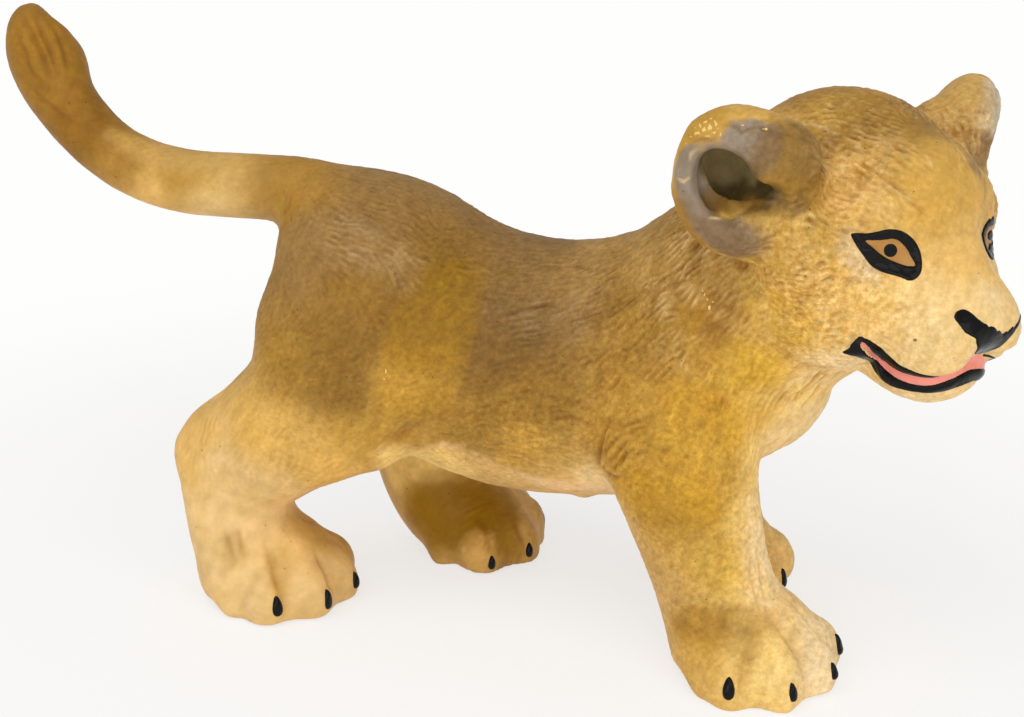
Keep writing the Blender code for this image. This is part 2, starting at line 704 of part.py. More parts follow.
def add_face_paint(head, figure, guides):
    face = grown("face_skin", head, PAINT_PROUD, guides)
    black = finish("black_paint")
    amber = finish("amber_paint")
    pink = finish("pink_paint")
    gap = 2 * PAINT_GAP
    line = 2 * EYE_LINE
    for side, word in ((RIGHT, "right"), (LEFT, "left")):
        frame = eye_frame(side)
        rim = prism_object(f"rim_{word}", [almond(EYE_LENGTH, EYE_HEIGHT)], frame, guides)
        inner = (EYE_LENGTH - line, EYE_HEIGHT - line)
        hole = prism_object(f"rim_hole_{word}", [almond(*inner)], frame, guides, PAINT_GAP)
        iris = prism_object(f"iris_{word}_blank", [almond(inner[0] - gap, inner[1] - gap)], frame, guides)
        pupil = prism_object(f"pupil_{word}_blank", [round_outline(PUPIL_SIZE)], frame, guides)
        pupil_hole = prism_object(f"pupil_hole_{word}", [round_outline(PUPIL_SIZE + gap)], frame, guides, PAINT_GAP)
        add_paint(f"eye_line_{word}", rim, hole, face, black, figure)
        add_paint(f"iris_{word}", iris, pupil_hole, face, amber, figure)
        add_paint(f"pupil_{word}", pupil, None, face, black, figure)
        wide = almond(EYE_LENGTH + gap, EYE_HEIGHT + gap)
        add_boolean(head, prism_object(f"eye_pocket_{word}", [wide], frame, guides, PAINT_GAP), "DIFFERENCE")

    stand = Matrix(((0, 0, 1, 0), (1, 0, 0, 0), (0, 1, 0, 0), (0, 0, 0, 1)))
    frame = head_frame() @ Matrix.Translation(head_vector(*NOSE_PLACE_SHARES)) @ stand
    half = [(NOSE_WIDTH * x, NOSE_HEIGHT * y) for x, y in NOSE_SHARES]
    outline = half + [(-x, y) for x, y in half[-2:0:-1]]
    nose = prism_object("nose_blank", [outline], frame, guides)
    add_paint("nose", nose, None, face, black, figure)
    wide = [(x * (1 + gap / NOSE_WIDTH), y * (1 + gap / NOSE_HEIGHT)) for x, y in outline]
    add_boolean(head, prism_object("nose_pocket", [wide], frame, guides, PAINT_GAP), "DIFFERENCE")

    for name, rows, height, lap, paint in (
        ("mouth", MOUTH_SHARES, MOUTH_HEIGHT, 0.0, pink),
        ("lower_lip", LIP_SHARES, LIP_HEIGHT, MOUTH_HEIGHT / 2, black),
    ):
        blank = band_object(name + "_blank", rows, height, 0.0, 0.0, guides)
        add_paint(name, blank, None, face, paint, figure)
        pocket = band_object(name + "_pocket", rows, height, PAINT_GAP, lap, guides)
        add_boolean(head, pocket, "DIFFERENCE")
    return black


def centre_figure(figure):
    """Moves every piece so that the origin lies on the floor under the middle of the figure."""
    graph = bpy.context.evaluated_depsgraph_get()
    places = []
    for obj in figure.objects:
        seen = obj.evaluated_get(graph)
        places.extend(seen.matrix_world @ vertex.co for vertex in seen.data.vertices)
    low = [min(place[axis] for place in places) for axis in range(3)]
    high = [max(place[axis] for place in places) for axis in range(3)]
    shift = Vector((-(low[0] + high[0]) / 2, -(low[1] + high[1]) / 2, -low[2]))
    base = bpy.data.objects.new("figure_origin", None)
    figure.objects.link(base)
    base.location = shift
    for obj in [*figure.objects, *bpy.data.collections["guides"].objects]:
        if obj is not base:
            obj.parent = base


def main():
    clear_scene()
    figure = collection_named("lion_cub")
    guides = collection_named("guides")
    form = whole_form(guides)
    form.shade_smooth()
    hind, fore, head, tail = add_mouldings(form, figure, guides)
    black = add_face_paint(head, figure, guides)
    add_claws(("hind_right", "hind_left"), hind, black, figure, guides)
    add_claws(("front_right", "front_left"), fore, black, figure, guides)
    centre_figure(figure)


main()
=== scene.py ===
"""Looks of a lion cub play figure: sculpted and painted skins, gloss marks, camera and light.

Places are in millimetres in body coordinates: X forward from the back of the rump, Y to the cub's
left from its middle, Z up from the floor. Head places are forward, left and up from the point
midway between the ears. ORIGIN moves body coordinates to the frame's.
"""

import math

import bmesh
import bpy
import numpy as np
from mathutils import Matrix, Vector
from mathutils.bvhtree import BVHTree
from mathutils.geometry import delaunay_2d_cdt
from mathutils.kdtree import KDTree


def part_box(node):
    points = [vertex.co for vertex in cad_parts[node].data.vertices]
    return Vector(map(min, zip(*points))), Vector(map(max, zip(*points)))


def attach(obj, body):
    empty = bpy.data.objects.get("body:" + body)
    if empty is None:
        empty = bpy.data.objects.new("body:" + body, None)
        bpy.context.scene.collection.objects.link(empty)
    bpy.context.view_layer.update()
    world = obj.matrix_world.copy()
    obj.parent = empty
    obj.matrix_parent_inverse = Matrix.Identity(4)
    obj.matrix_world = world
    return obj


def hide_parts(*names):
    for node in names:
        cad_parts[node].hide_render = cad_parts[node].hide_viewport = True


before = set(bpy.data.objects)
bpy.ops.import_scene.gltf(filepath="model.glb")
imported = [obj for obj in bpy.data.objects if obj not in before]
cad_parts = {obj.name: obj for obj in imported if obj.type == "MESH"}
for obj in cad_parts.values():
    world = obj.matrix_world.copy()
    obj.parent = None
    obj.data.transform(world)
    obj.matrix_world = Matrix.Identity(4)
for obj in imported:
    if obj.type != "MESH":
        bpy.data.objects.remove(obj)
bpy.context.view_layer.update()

MM = 0.001
ORIGIN = np.array((-17.23, 0.22, 0.0))
MOULDINGS = ("hind_body", "fore_body", "head", "tail")

# The photograph's camera.
PHOTO_SIZE = (1024, 717)
CAMERA_AZIMUTH = math.radians(18)
CAMERA_ELEVATION = math.radians(19)
CAMERA_DISTANCE = 150.0
CAMERA_TARGET = np.array((20.2, -2.0, 22.0))
FOCAL_PIXELS = 1830.0
SENSOR = 36.0

# The head's own axes.
HEAD_PLACE = np.array((47.01, -2.59, 41.90))
HEAD_TURN = math.radians(-34)
HEAD_AXES = np.array(
    (
        (math.cos(HEAD_TURN), math.sin(HEAD_TURN), 0.0),
        (-math.sin(HEAD_TURN), math.cos(HEAD_TURN), 0.0),
        (0.0, 0.0, 1.0),
    )
)

# Seams between the mouldings.
BODY_SEAM = 27.37
NECK_SEAM = np.array((41.4, -1.37, 31.39))
NECK_DIRECTION = np.array((0.740, -0.198, 0.643))
TAIL_SEAM = -1.61
TAIL_LOW = 25.0

# Paws: the ball's place, and the way the paw points.
PAWS = {
    "hind_right": (0.23, -6.44, -12),
    "hind_left": (13.11, 8.09, 2),
    "front_right": (41.95, -7.61, -36),
    "front_left": (35.42, 8.39, -2),
}
TOE_TURNS = (-62, -21, 20, 60)

SKIN_GRID = 0.32
CLOSING = 0.2
SKIN_SMOOTHING = 9

# Paints, as linear colours.
PAINTS = {
    "milk": (0.92, 0.72, 0.42),
    "shell": (0.93, 0.70, 0.36),
    "peach": (0.93, 0.64, 0.36),
    "custard": (0.93, 0.66, 0.22),
    "ivory": (0.89, 0.66, 0.32),
    "cream": (0.85, 0.60, 0.26),
    "butter": (0.86, 0.58, 0.20),
    "biscuit": (0.81, 0.56, 0.25),
    "wheat": (0.80, 0.50, 0.15),
    "honey": (0.75, 0.46, 0.115),
    "corn": (0.70, 0.41, 0.08),
    "maize": (0.74, 0.46, 0.075),
    "mustard": (0.70, 0.42, 0.045),
    "camel": (0.68, 0.43, 0.14),
    "sand": (0.61, 0.37, 0.08),
    "khaki": (0.55, 0.32, 0.055),
    "gold": (0.55, 0.30, 0.022),
    "tan": (0.50, 0.28, 0.04),
    "fawn": (0.47, 0.28, 0.075),
    "ochre": (0.42, 0.225, 0.035),
    "hazel": (0.37, 0.20, 0.028),
    "moss": (0.35, 0.172, 0.015),
    "brown": (0.33, 0.19, 0.055),
    "umber": (0.33, 0.175, 0.025),
    "bark": (0.28, 0.155, 0.042),
    "walnut": (0.27, 0.14, 0.018),
    "russet": (0.265, 0.12, 0.008),
    "gilt": (0.25, 0.13, 0.006),
    "resin": (0.33, 0.168, 0.002),
    "bistre": (0.22, 0.115, 0.022),
    "cocoa": (0.19, 0.10, 0.018),
    "lobe": (0.24, 0.145, 0.062),
    "mauve": (0.28, 0.235, 0.195),
    "dove": (0.52, 0.46, 0.34),
    "moth": (0.19, 0.13, 0.055),
    "olive": (0.165, 0.132, 0.058),
    "pitch": (0.045, 0.028, 0.004),
    "pale": (0.74, 0.62, 0.44),
    "amber": (0.46, 0.21, 0.035),
    "pink": (0.93, 0.31, 0.24),
    "black": (0.004, 0.0037, 0.0034),
    "chip": (0.85, 0.57, 0.17),
}

# Where each paint is strongest on the near side. The far side mirrors it.
ZONES = (
    ((53.5, -12.7, 31.9), "ivory"), ((54.7, -11.8, 33.2), "cream"), ((58.6, -9, 32.8), "shell"),
    ((55.7, -9.9, 35.7), "wheat"), ((56, -11.5, 29.5), "cream"), ((53, -10.5, 26), "shell"),
    ((48.5, -11, 28), "shell"), ((50.6, -12.3, 33.3), "butter"), ((53.3, -10.1, 40), "corn"),
    ((55.5, -7.5, 40.8), "sand"), ((51, -10.8, 41.2), "sand"), ((48.1, -11.5, 39.8), "wheat"),
    ((48, -7.7, 43.9), "umber"), ((45.5, -6, 44.9), "khaki"), ((43, -3, 46), "ochre"),
    ((40, -2, 42), "umber"), ((47.5, -13.5, 38), "khaki"), ((44.4, -14.1, 37.2), "sand"),
    ((45.3, -13.9, 33.6), "corn"), ((48.5, -13.1, 31.4), "wheat"), ((43.5, -12.5, 30.5), "maize"),
    ((38.9, -10.1, 29.7), "moss"), ((36, -7.7, 34.1), "hazel"), ((31.9, -6.4, 31.8), "fawn"),
    ((28.7, -3.3, 31.9), "fawn"), ((36, -2, 36.5), "umber"), ((30.6, -7.2, 29.5), "hazel"),
    ((32.7, -9, 27.1), "hazel"), ((34, -10.8, 23), "tan"), ((37.7, -10.4, 23.3), "gold"),
    ((41.9, -9.4, 25.8), "mustard"), ((45.2, -6, 23.5), "custard"), ((43.7, -4.9, 19.6), "shell"),
    ((41.5, -7.4, 17.8), "custard"), ((40, -9, 21), "mustard"), ((38, -11.8, 15), "gold"),
    ((33.5, -11, 16), "gold"), ((35.5, -11.5, 8), "camel"), ((40, -11.5, 10.2), "maize"),
    ((42.9, -10.1, 7.4), "cream"), ((43.5, -12.3, 4.3), "custard"), ((38.8, -12.6, 3.6), "sand"),
    ((47.5, -9, 3), "milk"), ((21.2, -1, 31.4), "bark"), ((23.6, -7.9, 26.6), "cocoa"),
    ((19.6, -8.2, 26.3), "bistre"), ((20.5, -8.5, 24), "bistre"), ((26, -8, 28), "brown"),
    ((25, -9.2, 21.5), "umber"), ((21.6, -9.3, 20.3), "hazel"), ((24, -9, 17), "khaki"),
    ((29.1, -6.6, 13.8), "ivory"), ((25.9, -6, 13.2), "wheat"), ((24, 0, 11.5), "camel"),
    ((15.8, -9.2, 25.4), "umber"), ((16.7, -7.5, 29), "gilt"), ((14.2, -9.8, 20.4), "khaki"),
    ((16.6, -9.5, 20.6), "hazel"), ((9.3, -7.4, 31.7), "bark"), ((9, -9, 28), "umber"),
    ((12.3, -8.8, 28.3), "walnut"), ((4.1, -7.5, 30.5), "brown"), ((10, -1, 35), "brown"),
    ((5, -11.3, 23.3), "hazel"), ((9, -11.5, 22.1), "walnut"), ((9, -11, 25), "walnut"),
    ((2.1, -12.1, 17.3), "honey"), ((7.6, -11, 14.1), "honey"), ((11.1, -10.8, 17), "khaki"),
    ((-6, -9.9, 14.6), "wheat"), ((-1.1, -11.6, 12), "biscuit"), ((3.1, -9.3, 10.1), "biscuit"),
    ((-2.8, -11.6, 6.6), "biscuit"), ((2.4, -8, 6.7), "biscuit"), ((0.4, -11.8, 4), "biscuit"),
    ((5, -8, 3), "biscuit"), ((-1.5, -3, 26), "umber"), ((1.3, -2.9, 34.9), "ochre"),
    ((-9, -2.8, 34.1), "tan"), ((-9, 0, 37), "fawn"), ((-9, 0, 31.3), "honey"),
    ((-14.6, -2.5, 36.2), "ochre"), ((-17.4, -2.2, 38.6), "russet"), ((-20.5, -2.7, 44.5), "moss"),
    ((9.8, -3.5, 8.7), "ochre"), ((11.7, -3.5, 6), "khaki"), ((17.4, -3.3, 3), "tan"),
    ((19.1, -6.7, 3.7), "gold"), ((41.7, -6.5, 3.2), "wheat"), ((38, -4.5, 10), "khaki"),
    ((50.5, -5.5, 44.3), "hazel"), ((54.5, -8.5, 44.2), "sand"), ((-7.6, -1.8, 32.1), "cream"),
    ((-12.2, -2.1, 32.9), "wheat"), ((46.7, -6.5, 25), "shell"), ((3.5, -7, 5.8), "honey"),
    ((31.3, -10.5, 18.5), "tan"), ((41.9, -8.2, 14), "custard"), ((42.9, -7.9, 9.8), "milk"),
)
ZONE_SOFTNESS = 1.6

# Carved fur on the near side: a place, the way it lies, its depth and its strokes' length.
FUR = (
    ((53.5, -12.7, 31.9), (-0.9, -0.2, 0.1), 0, 1.5), ((56, -10, 34), (-0.7, 0, 0.7), 0, 1.5),
    ((53, -10, 26), (-0.9, 0, 0.1), 0, 1.5), ((49.5, -12, 28.5), (-0.9, 0, -0.2), 0.05, 1.5),
    ((53.3, -10.1, 40.5), (-0.8, 0, 0.6), 0.12, 2), ((51, -10, 42), (-0.72, 0, 0.68), 0.5, 2.2),
    ((47, -8, 44), (-0.9, 0, 0.4), 0.5, 1.8), ((43, -3, 46), (-1, 0, 0), 0.15, 1.8),
    ((47, -13.5, 38), (-1, 0, 0.15), 0.55, 1.8), ((46, -14, 34.5), (-1, 0, -0.1), 0.7, 1.6),
    ((44.5, -13.5, 31), (-0.85, 0, -0.4), 0.45, 1.6), ((42, -13, 34), (-0.8, 0, -0.6), 0.5, 1.8),
    ((38, -9, 33), (-0.65, 0, -0.75), 0.35, 2.2), ((37.5, -10, 29), (-0.65, 0, -0.75), 0.3, 2.2),
    ((40, -10, 26), (-0.35, 0, -0.95), 0.3, 2.2), ((44.5, -7.5, 24), (-0.3, 0, -0.95), 0.7, 3),
    ((44, -3, 19), (0, 0, -1), 0.35, 2.6), ((33, -5, 33), (-0.8, 0, -0.6), 0.35, 2.2),
    ((33.5, -9.5, 26), (-0.6, 0, -0.75), 0.45, 2.2), ((38, -11, 20), (-0.2, 0, -1), 0.22, 2),
    ((37.5, -11.8, 13), (0, 0, -1), 0.12, 1.6), ((41, -11.7, 7), (0.3, 0, -1), 0.08, 1.4),
    ((43.5, -12, 3.5), (0.6, 0, -0.8), 0, 1.2), ((31.3, -10.8, 18.5), (-0.6, 0, -0.8), 0.4, 2),
    ((21, -6, 30), (-1, 0, -0.25), 0.18, 2.4), ((24, -8.5, 26), (-1, 0, -0.25), 0.5, 2.6),
    ((24, -9, 18), (-1, 0, -0.1), 0.45, 1.8), ((25, -5, 13), (-1, 0, 0), 0.06, 1.8),
    ((15.8, -9.2, 25), (-0.9, 0, -0.4), 0.22, 2.2), ((14, -9.8, 20), (-0.9, 0, -0.35), 0.35, 2.6),
    ((9, -7.5, 31.5), (0.9, 0, -0.35), 0.45, 2.4), ((12, -9, 29), (0.8, 0, -0.6), 0.45, 2.4),
    ((3, -7.5, 30), (0.5, 0, -0.8), 0.3, 2.2), ((5, -11.3, 23), (-0.8, 0, -0.5), 0.28, 1.6),
    ((2, -12, 17), (-0.5, 0, -0.85), 0.28, 2), ((11, -10.8, 17), (-0.7, 0, -0.7), 0.22, 2),
    ((-6, -10, 14.6), (0, 0, -1), 0.28, 1.8), ((-1, -11.6, 9), (0.2, 0, -1), 0.1, 1.6),
    ((2, -11, 3), (0.6, 0, -0.8), 0, 1.2), ((21, 0, 31.5), (-1, 0, 0), 0.2, 2.4),
    ((-9, -2.8, 34), (-1, 0, 0.05), 0.08, 2.4), ((-20, -2.7, 42), (-0.4, 0, 0.9), 0, 2.4),
    ((37.5, -8, 34.8), (-0.75, 0, -0.65), 0.95, 3), ((35, -8, 31.5), (-0.75, 0, -0.65), 0.85, 3),
    ((34.5, -9, 28.5), (-0.75, 0, -0.65), 0.7, 2.8),
    ((48.5, -11.3, 42.5), (-0.75, 0, 0.65), 0.75, 2.4), ((9, -11, 24), (-0.9, 0, -0.3), 0.3, 1.6),
    ((38.6, -14.8, 38.2), (-0.9, 0, -0.3), 0, 1.2),
    ((40.6, -14.2, 36.6), (-0.9, 0, -0.3), 0.1, 1.2),
    ((41.3, -14.6, 38.4), (-0.9, 0, -0.1), 0.22, 1.4), ((38, -15, 42), (-0.9, 0, -0.3), 0, 1.2),
    ((39.5, -12, 41), (-0.9, 0, -0.3), 0, 1.2), ((43, -15.5, 43), (-0.9, 0, -0.3), 0.12, 1.2),
    ((56.4, 3.5, 44), (-0.9, 0, 0.3), 0, 1.2), ((56, -8.5, 39.5), (-0.9, 0, 0.3), 0.05, 1.4),
)
STROKE_GROUPS = 3400
GROUP_GAP = 0.9
STROKE_SPACING = 0.5
STROKE_DEPTH = 0.20
STROKE_WIDTH = 0.145

EAR_CAVITY = (
    (708, 160), (710, 152), (718, 149.5), (728, 150), (736, 153.5), (744, 160), (751, 166),
    (756, 173), (759, 180), (765, 187), (771, 192), (777, 198), (776, 203), (768, 205), (757, 204),
    (748, 203), (741, 199), (730, 197.5), (722, 198), (716, 200), (712, 192), (710, 180),
    (708, 170),
)
EAR_INSIDE = (
    (678, 164), (682, 156), (688, 150), (694, 144), (702, 140.5), (712, 140), (722, 137),
    (727, 130), (736, 127.5), (748, 128), (760, 130), (770, 133), (776, 138), (772, 144),
    (771, 152), (768, 160), (760, 168), (752, 165), (745, 159), (737, 152.5), (728, 149),
    (718, 148.5), (710, 151), (708, 160), (710, 175), (712, 190), (716, 203), (722, 210),
    (735, 217), (748, 226), (755, 236), (752, 248), (743, 254), (735, 255), (725, 252), (712, 246),
    (703, 238), (696, 228), (690, 216), (685, 205), (681, 195), (678, 186), (676, 176),
)

# How rough the paint's grain is, by place.
GRAIN = (
    ((-18, -2.5, 40), 0.5), ((-6, -2.8, 34), 0.35), ((-4, -11, 14), 0.25), ((-2, -11.5, 6), 0.15),
    ((4, -8, 3), 0.2), ((5, -9, 30), 0.75), ((8, -11, 22), 1), ((8, -10, 14), 0.6),
    ((15, -9.5, 23), 1), ((23, -8, 27), 1), ((24, -9, 19), 1.3), ((26, -6, 13), 0.6),
    ((33, -9, 28), 1.3), ((37, -11, 20), 1.2), ((39, -11.5, 10), 1.1), ((42, -12, 4), 0.7),
    ((44, -5, 20), 0.6), ((38.5, -9.5, 31), 1), ((46, -13.5, 33), 1.9), ((44, -14, 37), 1.5),
    ((50, -12.3, 33.3), 1.3), ((55, -11.5, 32.5), 0.6), ((52.5, -10.5, 38.5), 0.65),
    ((54.5, -9, 41), 0.6), ((48, -9.5, 42.5), 1.6), ((44, -5, 45), 1.3), ((38.5, -13.5, 40), 0.3),
    ((38, -14.8, 41.5), 0.3), ((43, -15.5, 43), 0.9), ((55, -9, 43.5), 0.35),
    ((56.5, -8, 39.5), 0.4), ((57, -9, 35.5), 0.4), ((12, -3.5, 6), 0.3),
)
GRAIN_BUMPS = ((0.36, 0.013), (0.75, 0.006))

# Painted shade in the grooves and creases: what it does to the colour under it.
GROOVE_SHADE_TINT = (0.60, 0.46, 0.25)

# Areas painted on the near side, outlined by pixels: softness, paint, strength. Some are painted
# light and shade, as marked.
PAINTED_AREAS = (
    (((673, 175), (676, 150), (690, 128), (712, 114), (745, 109), (775, 113), (797, 124),
     (780, 131), (740, 126), (712, 134), (692, 150), (682, 172), (680, 180)), 0.6, "honey", 0.55),
    (((678, 156), (684, 138), (692, 126), (704, 116), (718, 112), (723, 122), (722, 136),
     (712, 139), (700, 138), (690, 143), (684, 156)), 0.4, "gold", 0.7),
    (EAR_INSIDE, 0.3, "mauve", 0.9),
    (((698, 208), (722, 212), (745, 222), (760, 235), (756, 247), (744, 252.5), (735, 253.5),
     (727, 250), (712, 240), (700, 225)), 0.8, "lobe", 0.75),
    (((680, 200), (684, 212), (690, 226), (698, 238), (708, 249), (702, 252), (690, 238),
     (682, 222), (676, 205)), 0.3, "russet", 0.45),
    (((690, 150), (696, 146), (706, 146), (704, 165), (703, 190), (708, 205), (700, 210),
     (692, 195), (688, 170)), 0.5, "mauve", 0.5),
    (((690, 138), (698, 124), (708, 116), (720, 116), (724, 126), (720, 136), (706, 139),
     (696, 143)), 0.25, "khaki", 0.8),
    (((768, 145), (780, 139), (795, 138), (808, 142), (820, 152), (822, 165), (814, 180),
     (800, 188), (785, 190), (772, 185), (764, 172), (766, 158)), 0.9, "cocoa", 0.8),
    # Painted shadow under the ear's bulge.
    (((772, 186), (800, 190), (818, 180), (822, 190), (810, 203), (785, 203), (775, 195)), 0.7,
     "moss", 0.5),
    (EAR_CAVITY, 0.3, "olive", 0.95),
    # Painted shade on the hollow's wall beside its rim.
    (((709, 165), (718, 160), (720, 180), (719, 200), (714, 203), (710, 190)), 0.4, "moth", 0.6),
    (((725, 186), (740, 188), (752, 190), (762, 188), (772, 196), (768, 203), (750, 202),
     (742, 196), (728, 191)), 0.35, "pitch", 0.85),
    # A dark strip under the ear's bulge: painted shadow.
    (((724, 199), (742, 200), (757, 206), (775, 206), (800, 202), (806, 206), (790, 210),
     (765, 210), (742, 208), (728, 204)), 0.35, "cocoa", 0.6),
    (((722, 209), (730, 205), (738, 206), (746, 211), (744, 217), (732, 217), (722, 214)), 0.35,
     "maize", 0.8),
    (((712, 195), (724, 197), (744, 198.5), (757, 203), (752, 207), (742, 207), (731, 204),
     (721, 207), (716, 211), (711, 203)), 0.35, "cocoa", 0.85),
    # A pale halo beside the eye's outer corner: painted highlight.
    (((842, 242), (850, 240), (857, 250), (866, 261), (876, 270), (870, 275), (856, 266),
     (845, 254)), 0.6, "pale", 0.45),
    (((679, 623), (690, 618), (706, 618), (722, 621), (718, 629), (702, 633), (685, 630)), 0.7,
     "walnut", 0.9),
    (((674, 624), (700, 616), (730, 619), (765, 618), (764, 626), (740, 630), (718, 634),
     (700, 642), (684, 638)), 0.8, "tan", 0.6),
    (((680, 425), (705, 430), (728, 450), (730, 485), (705, 495), (685, 480), (676, 450)), 1.6,
     "gold", 0.6),
    (((842, 112), (880, 115), (905, 128), (895, 142), (860, 138), (840, 128)), 1.2, "umber", 0.3),
    (((745, 630), (756, 634), (754, 655), (747, 660), (742, 645)), 0.6, "umber", 0.35),
    (((655, 520), (690, 530), (715, 560), (705, 590), (675, 590), (660, 560)), 1.3, "hazel", 0.3),
    (((748, 500), (762, 500), (772, 560), (775, 600), (764, 600), (756, 560)), 0.5, "shell", 0.6),
    (((228, 540), (236, 536), (240, 556), (232, 562)), 0.5, "hazel", 0.35),
    (((282, 520), (300, 516), (330, 524), (352, 545), (330, 540), (300, 530)), 0.8, "hazel", 0.3),
    (((272, 555), (279, 552), (284, 590), (279, 592)), 0.5, "sand", 0.5),
    # A pale band across the haunch: painted sheen, a painted highlight.
    (((325, 229), (345, 226), (375, 242), (405, 262), (410, 275), (392, 272), (365, 258),
     (338, 243)), 0.8, "fawn", 0.22),
    (((470, 265), (600, 265), (600, 300), (560, 322), (500, 330), (470, 310)), 1.6, "bark", 0.25),
    (((446, 266), (460, 262), (464, 280), (458, 305), (450, 300), (446, 285)), 0.8, "gilt", 0.5),
    (((452, 272), (466, 268), (474, 272), (471, 300), (465, 330), (456, 350), (430, 358),
     (402, 358), (394, 346), (403, 318), (422, 290)), 0.8, "resin", 0.6),
    (((393, 352), (425, 360), (454, 357), (447, 380), (437, 400), (408, 408), (388, 404),
     (386, 380)), 0.8, "gold", 0.4),
    (((440, 450), (480, 465), (520, 481), (560, 489), (600, 490), (600, 485), (560, 484),
     (520, 476), (480, 460), (445, 446)), 0.4, "peach", 0.7),
    # A paler streak along the top of the tail: painted highlight.
    (((110, 134), (150, 146), (200, 153), (245, 158), (245, 166), (200, 163), (150, 156)), 0.6,
     "wheat", 0.3),
)

# The same on the far side alone: its hind leg's inner face, and its ear. These are partly their
# paint and partly painted light and shade: the leg lighter where light reaches it and darker in
# its shaded middle, the ear with its shading painted on.
FAR_AREAS = (
    # The far leg's inner face: its paint lightened and darkened as painted light and shade.
    (((384, 452), (462, 452), (520, 480), (548, 500), (548, 550), (500, 572), (430, 560),
     (395, 490)), 0.8, "camel", 0.9),
    (((390, 455), (440, 455), (462, 468), (450, 486), (420, 492), (398, 482)), 1, "custard", 0.9),
    (((420, 500), (450, 492), (480, 495), (505, 503), (520, 518), (523, 540), (508, 548),
     (494, 534), (478, 530), (460, 537), (432, 537), (416, 518)), 1.6, "resin", 0.85),
    (((425, 500), (455, 495), (478, 500), (490, 515), (470, 526), (440, 526), (424, 515)), 1.3,
     "resin", 0.9),
    (((525, 500), (540, 505), (544, 540), (536, 552), (526, 540)), 0.6, "camel", 0.8),
    (((470, 540), (486, 538), (490, 552), (476, 560), (462, 556)), 0.6, "wheat", 0.6),
    # The far ear: its paint, with painted light and shade on it.
    (((985, 84), (1000, 86), (1001, 100), (996, 122), (990, 134), (980, 136), (984, 118),
     (989, 100)), 0.4, "dove", 0.95),
    (((986, 84), (1001, 86), (1001, 112), (996, 124), (988, 135), (986, 120), (989, 105)), 0.35,
     "pale", 0.55),
    (((968, 142), (982, 132), (990, 134), (986, 150), (980, 172), (972, 166)), 0.4, "lobe", 0.8),
    (((929, 98), (950, 86), (975, 80), (985, 84), (983, 110), (972, 136), (958, 138), (940, 118)),
     0.8, "camel", 0.5),
)

# Areas where the ridges of the fur are painted paler. On the haunch and the flank's band this is a
# painted sheen, a painted highlight.
RIDGE_AREAS = (
    (((318, 226), (335, 221), (365, 235), (395, 251), (414, 267), (412, 281), (395, 277),
     (365, 263), (335, 247)), 1, "pale", 0.26),
    (((480, 262), (520, 250), (585, 262), (592, 300), (575, 325), (520, 318), (485, 300)), 1.2,
     "pale", 0.16),
    (((800, 110), (870, 120), (930, 180), (900, 215), (850, 190), (815, 160)), 1.5, "shell", 0.4),
    (((665, 225), (705, 235), (715, 300), (700, 375), (665, 330)), 1.5, "shell", 0.4),
    (((740, 220), (830, 220), (850, 300), (800, 350), (745, 320)), 1.5, "shell", 0.4),
)

# Swellings and dents on the near side of the head, before the fur: place, radius, height, and
# the share of it that the far side has.
HEAD_SWELLS = (
    ((3.9, -11.2, 0.6), 2.4, 0.75, 0.1), ((3.4, -10.4, 2), 2, 0.3, 0.1),
    ((1, -13.2, 3.4), 2.6, 0.35, 0.3), ((2, -12.2, -3.4), 1.7, 1.05, 0.2),
    ((1, -12.8, -4.6), 1.2, 0.45, 0.2), ((6.9, -6.9, -5.6), 1.5, 0.85, 0.35),
    ((6.6, -7.8, -7), 1.6, 0.3, 0.35),
)

